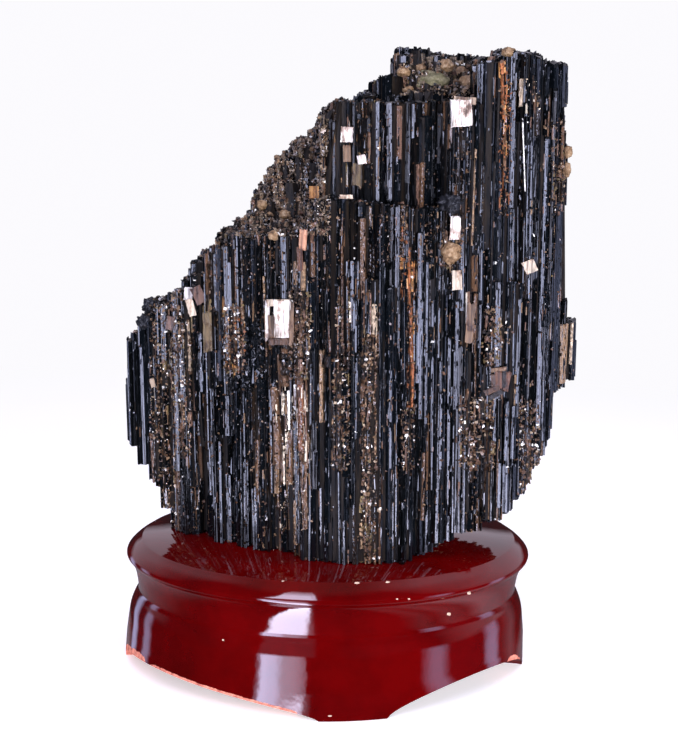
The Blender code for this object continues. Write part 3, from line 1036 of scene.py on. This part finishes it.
splinters = {
    "seed": 57,
    "count": 9000,
    "halfWidths": (0.12, 0.42),
    "halfLengths": (0.8, 5.5),
    "blackTints": shares(jet=2, ink=3, smoke=1),
    "brownShare": 0.06,  # among the black ones
    "dull": (0.02, 0.15),
    "box": (120, 580, 40, 570),  # the pixels that they are strewn over
    "flush": 1.6,  # how far the stone may fall back above and below one
    "steepest": 0.5,  # none lie on faces that look up more than this
    "sunk": 0.3,
    "thick": (0.6, 1.0),
    "sway": 0.02,  # radians
}


def scatterSplinters():
    # Thin splinters that lie upright along the crystals on the camera's side
    dice = random.Random(splinters["seed"])
    left, right, top, bottom = splinters["box"]
    sway = splinters["sway"]
    rows = []
    for _ in range(splinters["count"]):
        x, y = dice.uniform(left, right), dice.uniform(top, bottom)
        hit, outward = surfaceAt(x, y, grown)
        if hit is None or outward.z > splinters["steepest"]:
            continue
        width = dice.uniform(*splinters["halfWidths"])
        length = splinters["halfLengths"][0] + splinters["halfLengths"][1] * dice.random() ** 2
        reach = (length + 0.3) / pixelSize(hit)
        ends = [surfaceAt(x, y + way * reach, grown)[0] for way in (-1, 1)]
        if any(end is None or (end - hit).xy.length > splinters["flush"] for end in ends):
            continue
        kind = kindAt(hit, outward, dice)
        colours = kinds[kind]["tints"]
        if kind == "black" and dice.random() > splinters["brownShare"]:
            colours = splinters["blackTints"]
        elif kind == "black":
            colours = kinds["mixed"]["tints"]
        rows.append({
            "place": hit - outward * splinters["sunk"] * width,
            "turn": (dice.gauss(0.0, sway), dice.gauss(0.0, sway), dice.uniform(0.0, 6.28)),
            "size": (width, width * dice.uniform(*splinters["thick"]), length),
            "form": dice.randrange(formCount),
            "tint": tints[dice.choice(colours)],
            # Splinters in the painted shade of the recess are as dull as its crystals
            "dull": dice.uniform(*(kinds[kind] if kind == "shaded" else splinters)["dull"]),
            "grit": 0.0,
        })
    placeMesh("splinters", scatter("splinters", rows, grainSet, crystalFaces), stonePlace)


def grainsInZones(dice):
    rows = []
    for left, right, top, bottom, kind, share in zones:
        if kind not in grains:
            continue
        count = int((right - left) * (bottom - top) * grains[kind]["density"] * share)
        for _ in range(count):
            x, y = dice.uniform(left, right), dice.uniform(top, bottom)
            hit, outward = surfaceAt(x, y, grown)
            if hit is not None:
                rows.append(grainAt(hit, outward, kind, dice))
    return rows


def grainsFromAbove(dice):
    rows = []
    (left, right), (front, back) = grains["aboveBox"]
    for _ in range(grains["fromAbove"]):
        start = Vector((dice.uniform(left, right), dice.uniform(front, back), 300.0))
        hit, outward, _, _ = grown.ray_cast(start, -upward, 400.0)
        if hit is None:
            continue
        kind = kindAt(hit, upward, dice)
        if kind in ("sandy", "knobbly", "grainy"):
            rows.append(grainAt(hit, outward, kind, dice))
    return rows


def grainsRoundAbout(dice):
    rows = []
    for _ in range(grains["roundAbout"]):
        angle = dice.uniform(0.0, 2.0 * math.pi)
        aim = Vector([dice.uniform(*reach) for reach in grains["aims"]])
        way = Vector((math.cos(angle), math.sin(angle), 0.0))
        hit, outward, _, _ = grown.ray_cast(aim + way * 300.0, -way, 600.0)
        if hit is None or outward.dot(toCamera(hit)) > 0.1:
            continue
        brown = brownness(hit)
        if brown > growth["brownBelow"] - grains["brownSpill"]:
            rows.append(grainAt(hit, outward, "grainy", dice))
        elif brown > growth["mixedBelow"] and dice.random() < grains["mixedShare"]:
            rows.append(grainAt(hit, outward, "mixed", dice))
    return rows


def scatterGrains():
    dice = random.Random(grains["seed"])
    parts = {"mica_grains_front_left": [], "mica_grains_front_right": [], "mica_grains_back": []}
    for row in grainsInZones(dice) + grainsFromAbove(dice) + grainsRoundAbout(dice):
        side = "front_left" if row["place"].x < grains["parting"] else "front_right"
        parts["mica_grains_" + (side if row["front"] else "back")].append(row)
    for name, rows in parts.items():
        placeMesh(name, scatter(name, rows, grainSet, crystalFaces), stonePlace)


scatterGrains()
scatterSplinters()
for mesh in crystalMeshes:
    placeMesh(mesh.name, mesh, stonePlace)
print("Grains strewn")

# Books of white mica and blocks of feldspar: left, right, top and bottom pixel, thickness,
# how far they stand out, tilt in degrees, and colour
micaBooks = {
    "seed": 8,
    "layers": 5,
    "sidePoints": 6,  # along each side of a leaf
    "ragged": 1.3,  # how far its edge is broken in, in pixels
    "mostRagged": 0.35,  # of a leaf's half width
    "fullest": 1.03,  # how far its edge reaches at most, in half widths
    "leans": (0.12, 0.05),  # across and upwards
    "shrink": (0.86, 1.0),  # how large the leaves are, of the whole
    "books": (
        (265, 270, 300, 341, 2.4, 0.9, 0.0, "white"), (268, 276, 314, 341, 2.2, 0.6, 1.0, "tan"),
        (274, 290.5, 300, 338, 3.0, 1.0, 0.0, "white"), (266, 290, 299, 306, 2.0, 1.2, -1.0, "cream"),
        (289, 294, 300, 346, 2.0, 0.2, -1.0, "tan"), (268, 292, 338, 345, 2.0, 0.5, 2.0, "brown"),
        (451, 472, 100, 126, 2.6, 1.2, 4.0, "white"), (454, 476, 97, 104, 2.0, 1.0, -4.0, "sand"),
        (341, 353, 127, 142, 2.0, 1.0, -3.0, "white"), (343, 351, 145, 162, 1.6, 0.8, 2.0, "tan"),
        (357, 366, 155, 164, 1.6, 1.0, 10.0, "white"), (352, 364, 163, 186, 1.8, 0.8, -4.0, "olive"),
        (450, 461, 216, 240, 2.0, 1.1, -2.0, "white"), (452, 462, 270, 290, 1.8, 1.0, 3.0, "cream"),
        (184, 193, 287, 300, 2.2, 1.2, -6.0, "white"), (187, 195, 298, 317, 1.8, 1.0, 14.0, "cream"),
        (193, 204, 286, 304, 1.6, 0.8, 24.0, "rose"), (524, 536, 260, 273, 1.6, 0.9, 25.0, "cream"),
        (491, 497, 373, 391, 2.2, 0.9, 8.0, "brown"), (495, 502, 370, 389, 2.2, 1.1, 3.0, "bronze"),
        (500, 506, 369, 388, 2.0, 1.0, -4.0, "umber"), (504, 510, 371, 392, 2.0, 0.8, -10.0, "bronze"),
        (484, 500, 387, 393, 1.8, 1.0, 24.0, "brown"), (488, 504, 392, 397, 1.4, 0.8, 30.0, "umber"),
        (491, 507, 367, 371, 1.4, 1.3, 8.0, "tan"), (466, 474, 302, 344, 1.6, 0.9, -3.0, "tan"),
        (309, 319, 186, 198, 3.0, 2.2, 0.0, "honey"), (299, 307, 229, 250, 2.0, 1.0, -4.0, "copper"),
        (297, 303, 246, 272, 1.8, 0.9, 3.0, "bronze"), (339, 353, 194.5, 198.5, 1.6, 1.4, 0.0, "cream"),
        (203, 212, 312, 352, 1.8, 0.8, 1.0, "olive"), (166, 174, 316, 330, 1.6, 0.8, -10.0, "rose"),
        (150, 155, 378, 388, 1.6, 0.6, 16.0, "sand"),
    ),
}
micaFinish = {
    "stains": (260.0, 260.0, 150.0),
    "stainShades": (
        (0.34, (0.16, 0.10, 0.08)), (0.42, (0.62, 0.5, 0.45)), (0.5, (1.0, 0.97, 0.97)),
        (0.7, (0.86, 0.86, 0.9)),
    ),
    "fibres": (1100.0, 1100.0, 70.0),
    "fibreShades": ((0.36, (0.30, 0.28, 0.27)), (0.5, (0.86, 0.85, 0.85)), (0.66, (1.12, 1.1, 1.1))),
    "roughness": 0.28,
    "depth": 0.0007,  # metres
}


def leafOutline(width, height, ragged, dice):
    # A broken oblong: four sides of a few points, pulled in by different amounts
    outline = []
    steps = micaBooks["sidePoints"]
    corners = ((1, 1), (-1, 1), (-1, -1), (1, -1))
    for (startX, startY), (endX, endY) in zip(corners, corners[1:] + corners[:1]):
        for i in range(steps):
            along = (i + dice.uniform(-0.2, 0.2)) / steps
            pull = micaBooks["fullest"] - ragged * dice.random() ** 1.5
            x, y = startX + (endX - startX) * along, startY + (endY - startY) * along
            outline.append((x * pull * width, y * pull * height))
    return outline


def micaBook(box, dice):
    # A stack of thin leaves, each with its own broken outline, facing the camera's side of the stone
    left, right, top, bottom, thickness, proud, tilt, tint = box
    middle = stoneRay(0.5 * (left + right), 0.5 * (top + bottom))
    spots = [
        surfaceAt(left + (right - left) * across, top + (bottom - top) * down, grown)[0]
        for across in (0.2, 0.5, 0.8) for down in (0.15, 0.5, 0.85)
    ]
    depths = [(spot - cameraInStone).dot(middle) for spot in spots if spot]
    if not depths:
        return None
    hit = cameraInStone + middle * min(depths)
    size = pixelSize(hit)
    width, height = 0.5 * (right - left) * size, 0.5 * (bottom - top) * size
    forward = toCamera(hit)
    forward.z = 0.0
    forward.normalize()
    across = upward.cross(forward)
    turn = math.radians(tilt)
    ragged = min(micaBooks["mostRagged"], micaBooks["ragged"] / min(right - left, bottom - top))
    leanAcross, leanUp = (dice.uniform(-most, most) for most in micaBooks["leans"])
    work = bmesh.new()
    layers = micaBooks["layers"]
    count = 4 * micaBooks["sidePoints"]
    for layer in range(layers):
        shrink = dice.uniform(*micaBooks["shrink"])
        outline = leafOutline(width * shrink, height * shrink, ragged, dice)
        front = proud - 0.45 * thickness * layer / layers
        rings = []
        for depth in (front, front - 0.11 * thickness - 0.35):
            ring = []
            for x, y in outline:
                flatX = x * math.cos(turn) - y * math.sin(turn)
                flatY = x * math.sin(turn) + y * math.cos(turn)
                out = depth + leanAcross * flatX + leanUp * flatY
                ring.append(work.verts.new(hit + across * flatX + upward * flatY + forward * out))
            rings.append(ring)
        work.faces.new(rings[0])
        work.faces.new(reversed(rings[1]))
        for i in range(count):
            j = (i + 1) % count
            work.faces.new((rings[1][i], rings[1][j], rings[0][j], rings[0][i]))
    bmesh.ops.recalc_face_normals(work, faces=work.faces)
    mesh = meshFrom(work, "mica_book")
    colour = mesh.attributes.new("tint", "FLOAT_COLOR", "POINT")
    for item in colour.data:
        item.color = (*tints[tint], 1.0)
    return mesh


def micaMaterial():
    material, tree, shader = newMaterial("mica_leaves")
    stain = noiseAt(tree, stoneCoordinates(tree, micaFinish["stains"]), 1.0, 6.0, 0.7)
    fibre = noiseAt(tree, stoneCoordinates(tree, micaFinish["fibres"]))
    colour = attribute(tree, "tint", "Color")
    for pattern, shades in ((stain, "stainShades"), (fibre, "fibreShades")):
        colour = mixColours(tree, 1.0, colour, ramp(tree, pattern, micaFinish[shades]), "MULTIPLY")
    setInputs(
        tree, shader, Base_Color=colour, Roughness=micaFinish["roughness"],
        Normal=relief(tree, stain, 0.9, micaFinish["depth"]),
    )
    return material


def joinMeshes(name, meshes):
    work = bmesh.new()
    for mesh in meshes:
        work.from_mesh(mesh)
    return meshFrom(work, name)


def makeMica():
    dice = random.Random(micaBooks["seed"])
    material = micaMaterial()
    books = [micaBook(book, dice) for book in micaBooks["books"]]
    joined = joinMeshes("mica_books", [book for book in books if book])
    joined.materials.append(material)
    placeMesh("mica_books", joined, stonePlace)


makeMica()
print("Mica books set")

# Rounded nodules: middle pixel, width and height in pixels, and colour
nodules = {
    "seed": 4,
    "roughness": {"green": 0.2, "tan": 0.22, "black": 0.5},
    "dull": {"green": 0.55, "tan": 0.55, "black": 0.4},
    "pattern": 480.0,  # to the metre
    "search": 16,  # how many pixels further down the stone is looked for
    "sunk": 0.25,  # how far the middle lies behind the face, in half widths
    "lumps": (
        (432, 82, 33, 22, "green"), (446, 66, 15, 13, "tan"), (509, 53, 15, 11, "tan"),
        (471, 84, 24, 18, "tan"), (421, 69, 12, 10, "tan"), (404, 72, 13, 10, "tan"),
        (460, 71, 12, 10, "tan"), (408, 90, 12, 8, "tan"), (452, 204, 24, 18, "black"),
        (451, 253, 20, 22, "tan"), (150, 306, 15, 16, "black"), (144, 322, 14, 14, "black"),
        (568, 152, 9, 12, "tan"), (567, 170, 8, 14, "tan"), (285, 215, 12, 10, "tan"),
        (262, 205, 11, 10, "tan"), (274, 236, 12, 10, "tan"),
    ),
}
noduleColours = {
    "green": ((0.3, (0.05, 0.045, 0.022)), (0.5, (0.16, 0.145, 0.085)), (0.75, (0.34, 0.29, 0.20))),
    "tan": ((0.3, (0.055, 0.028, 0.014)), (0.5, (0.24, 0.145, 0.08)), (0.75, (0.48, 0.36, 0.26))),
    "black": ((0.3, (0.004, 0.004, 0.006)), (0.6, (0.013, 0.014, 0.02)), (0.85, (0.06, 0.05, 0.05))),
}


def nodule(x, y, across, high, colour, dice):
    for down in range(nodules["search"]):
        hit, outward = surfaceAt(x, y + down)
        if hit is not None:
            break
    if hit is None:
        return None
    size = pixelSize(hit)
    lateral, tall = 0.5 * across * size, 0.5 * high * size
    forward = toCamera(hit)
    forward.z = 0.0
    middle = hit - forward.normalized() * nodules["sunk"] * lateral
    shift = Vector([dice.uniform(0.0, 99.0) for _ in range(3)])
    work = bmesh.new()
    bmesh.ops.create_icosphere(work, subdivisions=4, radius=1.0)
    for corner in work.verts:
        way = corner.co.copy()
        bulge = noise.noise(way * 1.7 + shift) + 0.6 * noise.noise(way * 4.0 + shift)
        swell = 1.0 + nodules["roughness"][colour] * (bulge + 0.3 * noise.noise(way * 9.0))
        corner.co = middle + Vector((way.x * lateral, way.y * lateral, way.z * tall)) * swell
    return meshFrom(work, "nodule")


def makeNodules():
    dice = random.Random(nodules["seed"])
    groups = {}
    for x, y, across, high, colour in nodules["lumps"]:
        mesh = nodule(x, y, across, high, colour, dice)
        if mesh:
            groups.setdefault(colour, []).append(mesh)
    for colour, meshes in groups.items():
        finish = (noduleColours[colour], nodules["dull"][colour], nodules["pattern"])
        joined = joinMeshes(f"nodules_{colour}", meshes)
        joined.materials.append(lumpMaterial(f"nodule_{colour}", *finish))
        joined.shade_smooth()
        placeMesh(joined.name, joined, stonePlace)


makeNodules()
print("Nodules set")

# The stand, the same shape as its solid with smoother curves
standShape = {
    "sides": 360,
    "halfLength": 85.0,
    "halfDepth": 64.0,
    "smoothing": 5,  # rings between two points of the profile
    "profile": (
        (-1.2, 57.0), (0.0, 56.2), (2.6, 54.4), (4.8, 52.2), (5.5, 50.8), (5.3, 49.6), (3.6, 47.6),
        (1.8, 43.4), (0.8, 38.4), (0.5, 34.0), (2.2, 30.4), (3.8, 26.0), (4.7, 20.0), (5.4, 14.0),
    ),
    "footOut": 6.0,
    "footDepth": 15.0,
    "undersideOut": -12.0,
    "underside": 13.0,
    # From and to degrees round the stand, height, and a lean of the top to one end
    "arches": (
        (-81.0, -18.0, 12.4, 1.0), (18.0, 81.0, 12.0, 1.1), (99.0, 150.0, 11.5, 1.1),
        (176.0, 261.0, 10.8, 0.75),
    ),
    "fullness": 0.65,
    "skirtSteps": (0.25, 0.5, 0.7, 0.82, 0.9, 0.96, 1.0),
    "wornOut": 4.0,
    "wornBelow": 20.0,
    "wornBack": 30.0,  # none shows further back than this behind the middle
    "wornFade": 0.12,  # how fast the wear sets in from its ends, to the pixel
    # Where the lacquer has worn off the lower edge: from and to pixel across, and how high it reaches
    "worn": ((120, 150, 2.5), (146, 302, 1.0), (503, 524, 2.0)),
}


def archHeight(bearing):
    for start, end, height, lean in standShape["arches"]:
        along = ((bearing - start) % 360.0) / (end - start)
        if along < 1.0:
            return height * math.sin(math.pi * along**lean) ** standShape["fullness"]
    return 0.0


def smoothLine(points, steps):
    # A curve through the points, with more points between them
    line = []
    for i in range(len(points) - 1):
        near = [points[max(0, min(len(points) - 1, i + k))] for k in (-1, 0, 1, 2)]
        a, b, c, d = (Vector(point) for point in near)
        for s in range(steps):
            t = s / steps
            curve = 2 * b + (c - a) * t + (2 * a - 5 * b + 4 * c - d) * t**2
            line.append(0.5 * (curve + (3 * b - a - 3 * c + d) * t**3))
    line.append(Vector(points[-1]))
    return line


def makeStand():
    shape = standShape
    sides = shape["sides"]
    edges = [archHeight(360.0 * i / sides) for i in range(sides)]
    profile = smoothLine(shape["profile"], shape["smoothing"])
    rings = [(out, [z] * sides) for out, z in profile]
    lastOut, lastZ = shape["profile"][-1]
    for step in shape["skirtSteps"]:
        out = lastOut + (shape["footOut"] - lastOut) * step
        rings.append((out, [lastZ + (edge - lastZ) * step for edge in edges]))
    rings.append((shape["footOut"] - shape["footDepth"], edges))
    rings.append((shape["undersideOut"], [shape["underside"]] * sides))
    points, wear = [], []
    for out, heights in rings:
        for i, z in enumerate(heights):
            angle = 2.0 * math.pi * i / sides
            place = Vector((
                standMiddle.x + (shape["halfLength"] + out) * math.cos(angle) * mm,
                standMiddle.y + (shape["halfDepth"] + out) * math.sin(angle) * mm,
                z * mm,
            ))
            points.append(place)
            x, _ = pixelOf(place, worldToLens)
            worn = 0.0
            for left, right, reach in shape["worn"]:
                low = out > shape["wornOut"] and z < shape["wornBelow"]
                if left < x < right and low and place.y < standMiddle.y + shape["wornBack"] * mm:
                    inward = min(1.0, shape["wornFade"] * min(x - left, right - x))
                    worn = max(worn, inward * (1.0 - (z - edges[i]) / (2.0 * reach)))
            wear.append(max(0.0, worn))
    faces = [tuple(range(sides))]
    for r in range(len(rings) - 1):
        for i in range(sides):
            j = (i + 1) % sides
            a, b = r * sides, (r + 1) * sides
            faces.append((a + i, b + i, b + j, a + j))
    faces.append(tuple(reversed(range((len(rings) - 1) * sides, len(rings) * sides))))
    mesh = bpy.data.meshes.new("lacquered_stand")
    mesh.from_pydata(points, [], faces)
    mesh.attributes.new("worn", "FLOAT", "POINT").data.foreach_set("value", wear)
    mesh.materials.append(lacquerMaterial())
    mesh.shade_smooth()
    mesh.set_sharp_from_angle(angle=math.radians(40.0))
    stand = placeMesh("lacquered_stand", mesh)
    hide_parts("display_stand")
    return BVHTree.FromPolygons(points, faces)


standTree = makeStand()

# Chips in the lacquer: middle pixel, and width and height in pixels
chips = {
    "seed": 3,
    "lift": 0.06,
    "sunk": 0.2,
    "top": 0.72,  # how wide the top is, of the whole
    "reach": (0.35, 0.6),
    "points": 9,
    "wood": ((0.3, (0.42, 0.22, 0.16)), (0.7, (0.85, 0.72, 0.6))),
    "dull": 0.8,
    "pattern": 900.0,  # to the metre
    "marks": (
        (469, 593, 5, 4), (449, 614, 5, 4), (357, 583, 7, 2.5), (388, 582, 6, 2.5), (397, 599, 3, 2),
        (409, 599, 3, 2), (283, 581, 4, 2), (330, 716, 6, 2), (223, 640, 3, 2),
    ),
}


def makeChips():
    dice = random.Random(chips["seed"])
    count = chips["points"]
    work = bmesh.new()
    start = cameraPlace.translation
    for x, y, across, high in chips["marks"]:
        rings = []
        for share, lift in ((1.0, -chips["sunk"]), (chips["top"], chips["lift"])):
            ring = []
            for i in range(count):
                angle = 2.0 * math.pi * i / count
                reach = share * dice.uniform(*chips["reach"])
                way = pixelDirection(x + across * reach * math.cos(angle), y + high * reach * math.sin(angle))
                hit, outward, _, _ = standTree.ray_cast(start, way, 5.0)
                if hit is not None:
                    ring.append(work.verts.new(hit + outward * lift * mm))
            rings.append(ring)
        if len(rings[0]) == len(rings[1]) == count:
            for i in range(count):
                j = (i + 1) % count
                work.faces.new((rings[0][i], rings[0][j], rings[1][j], rings[1][i]))
            work.faces.new(rings[1])
            work.faces.new(reversed(rings[0]))
    bmesh.ops.recalc_face_normals(work, faces=work.faces)
    mesh = meshFrom(work, "lacquer_chips")
    mesh.materials.append(lumpMaterial("bare_wood_chips", chips["wood"], chips["dull"], chips["pattern"]))
    placeMesh("lacquer_chips", mesh)


makeChips()
print("Stand made")

# Floor, light and surroundings. Bearings are from the camera's side of the stone, to the right.
studio = {
    "floorSize": 8.0,  # metres
    "floorColour": (0.90, 0.89, 0.92),
    "floorGlow": 0.4,
    "paleAir": (0.97, 0.96, 0.99),
    "paleFrom": 0.2,  # metres from the middle
    "paleTo": 0.7,
    # Bearing, brightness and colour of the room, in four rings from the ground to the ceiling
    "groundBands": (
        (-180, 0.2, "lilac"), (-140, 0.4, "lilac"), (-112, 0.3, "lilac"), (-84, 0.05, "lilac"),
        (-70, 0.02, "blue"), (-22, 0.02, "blue"), (-20, 17.0, "warm"), (-2, 15.5, "warm"), (0, 2.0, "warm"),
        (2, 0.3, "warm"), (3, 0.02, "blue"), (48, 0.02, "blue"), (60, 0.25, "lilac"), (68, 0.08, "lilac"),
        (76, 0.35, "lilac"), (90, 0.15, "lilac"), (104, 0.8, "lilac"), (116, 0.6, "lilac"),
        (130, 0.3, "lilac"), (180, 0.2, "lilac"),
    ),
    "stoneBands": (
        (-180, 0.03, "lilac"), (-137, 0.03, "lilac"), (-132, 2.2, "blue"), (-126, 2.2, "blue"),
        (-121, 0.04, "blue"), (-113, 0.04, "blue"), (-109, 2.2, "blue"), (-104, 2.2, "blue"),
        (-99, 0.02, "blue"), (-23, 0.01, "blue"), (-21, 12.0, "pearl"), (-14, 9.5, "pearl"),
        (-11, 5.0, "warm"), (-5, 4.0, "warm"), (-1, 2.0, "warm"), (0, 0.01, "blue"), (2, 0.01, "blue"),
        (51, 0.01, "blue"), (57, 2.2, "blue"), (62, 2.2, "blue"), (67, 0.04, "blue"), (90, 0.04, "blue"),
        (95, 2.2, "blue"), (102, 2.2, "blue"), (107, 0.06, "lilac"), (122, 0.35, "lilac"),
        (134, 0.03, "lilac"), (180, 0.03, "lilac"),
    ),
    "highBands": (
        (-180, 1.0, "lilac"), (-130, 0.9, "lilac"), (-105, 0.4, "lilac"), (-85, 0.03, "blue"),
        (-24, 0.01, "blue"), (-22, 0.3, "warm"), (2, 0.2, "warm"), (4, 0.01, "blue"), (62, 0.03, "blue"),
        (85, 0.5, "lilac"), (120, 1.0, "lilac"), (180, 1.0, "lilac"),
    ),
    "topBands": (
        (-180, 0.8, "lilac"), (-130, 0.7, "lilac"), (-105, 0.3, "lilac"), (-85, 0.03, "blue"),
        (-24, 0.01, "blue"), (-22, 10.0, "warm"), (2, 10.0, "warm"), (4, 0.01, "blue"), (62, 0.03, "blue"),
        (85, 0.4, "lilac"), (120, 0.8, "lilac"), (180, 0.8, "lilac"),
    ),
    "colours": {
        "warm": (0.86, 0.86, 1.15), "pearl": (0.76, 0.81, 1.17), "lilac": (0.86, 0.80, 0.95),
        "blue": (0.64, 0.71, 1.15),
    },
    # Between these heights of the unit sphere one ring blends into the next
    "groundEdge": (-0.345, -0.31),
    "highEdge": (0.10, 0.20),
    "topEdge": (0.60, 0.68),
    "ceilingEdge": (0.90, 0.98),
    "ceiling": (0.97, 0.97, 1.0),
    "overhead": 0.12,
    "lights": (
        {"name": "key_light", "place": (0.30, -0.90, 0.28), "size": 0.55, "power": 11.5},
        {"name": "fill_light", "place": (-0.75, -0.60, 0.30), "size": 0.6, "power": 3.5},
        {"name": "top_light", "place": (0.0, 0.10, 1.20), "size": 0.9, "power": 1.5},
    ),
}


def bandColours(tree, place, bands):
    # A ramp round the compass; its brightness is divided by the peak, which the background multiplies back
    stops = []
    for angle, level, colour in bands:
        share = level / studioPeak
        stops.append(((angle + 180.0) / 360.0, tuple(share * part for part in studio["colours"][colour])))
    return ramp(tree, place, stops)


def makeSurroundings():
    world = bpy.data.worlds.new("studio")
    bpy.context.scene.world = world
    world.use_nodes = True
    tree = world.node_tree
    tree.nodes.clear()
    way = addNode(tree, "ShaderNodeTexCoord").outputs["Generated"]
    turn = (0.0, 0.0, -math.radians(stoneFrame["turn"]))
    way = addNode(tree, "ShaderNodeMapping", Vector=way, Rotation=turn).outputs[0]
    parts = addNode(tree, "ShaderNodeSeparateXYZ", Vector=way).outputs
    bearing = calculate(tree, "ARCTAN2", parts["X"], calculate(tree, "MULTIPLY", parts["Y"], -1.0))
    place = spread(tree, bearing, 0.0, 1.0, -math.pi, math.pi)
    walls = bandColours(tree, place, studio["groundBands"])
    for edge, bands in (("groundEdge", "stoneBands"), ("highEdge", "highBands"), ("topEdge", "topBands")):
        rise = spread(tree, parts["Z"], 0.0, 1.0, *studio[edge])
        walls = mixColours(tree, rise, walls, bandColours(tree, place, studio[bands]))
    room = addNode(tree, "ShaderNodeBackground", Color=walls, Strength=studioPeak)
    # Straight overhead the bands give way to an even ceiling
    top = spread(tree, parts["Z"], 0.0, 1.0, *studio["ceilingEdge"])
    above = (*studio["ceiling"], 1.0)
    ceiling = addNode(tree, "ShaderNodeBackground", Color=above, Strength=studio["overhead"])
    lit = addNode(tree, "ShaderNodeMixShader", _0=top, _1=room.outputs[0], _2=ceiling.outputs[0])
    pale = addNode(tree, "ShaderNodeBackground", Color=(*studio["paleAir"], 1.0), Strength=1.0)
    seen = addNode(tree, "ShaderNodeLightPath").outputs["Is Camera Ray"]
    shown = addNode(tree, "ShaderNodeMixShader", _0=seen, _1=lit.outputs[0], _2=pale.outputs[0])
    addNode(tree, "ShaderNodeOutputWorld", Surface=shown.outputs[0])


def makeFloor():
    half = studio["floorSize"] / 2
    mesh = bpy.data.meshes.new("floor")
    corners = [(-half, -half, 0), (half, -half, 0), (half, half, 0), (-half, half, 0)]
    mesh.from_pydata(corners, [], [(0, 1, 2, 3)])
    material, tree, shader = newMaterial("pale_floor")
    air = (*studio["paleAir"], 1.0)
    setInputs(
        tree, shader, Base_Color=(*studio["floorColour"], 1.0), Roughness=0.9, Emission_Color=air,
        Emission_Strength=studio["floorGlow"],
    )
    far = addNode(tree, "ShaderNodeVectorMath", {"operation": "LENGTH"}, _0=objectPlace(tree))
    blend = addNode(
        tree, "ShaderNodeMapRange", {"interpolation_type": "SMOOTHSTEP"}, Value=far.outputs["Value"],
        From_Min=studio["paleFrom"], From_Max=studio["paleTo"],
    )
    pale = addNode(tree, "ShaderNodeEmission", Color=air, Strength=1.0)
    both = addNode(tree, "ShaderNodeMixShader", _0=blend.outputs[0], _1=shader.outputs[0], _2=pale.outputs[0])
    tree.links.new(both.outputs[0], tree.nodes["Material Output"].inputs["Surface"])
    mesh.materials.append(material)
    floor = bpy.data.objects.new("floor", mesh)
    floor.visible_glossy = False
    link(floor)


def makeLights():
    for facts in studio["lights"]:
        data = bpy.data.lights.new(facts["name"], "AREA")
        data.shape = "DISK"
        data.size = facts["size"]
        data.energy = facts["power"]
        light = bpy.data.objects.new(facts["name"], data)
        light.location = facts["place"]
        aim = Vector((0.0, 0.0, 0.12)) - light.location
        light.rotation_euler = aim.to_track_quat("-Z", "Y").to_euler()
        light.visible_camera = False
        light.visible_glossy = False
        link(light)


studioPeak = max(
    level for ring in ("groundBands", "stoneBands", "highBands", "topBands") for _, level, _ in studio[ring]
)
makeSurroundings()
makeFloor()
makeLights()
bpy.context.scene.view_settings.view_transform = "Standard"
print("Studio lit")
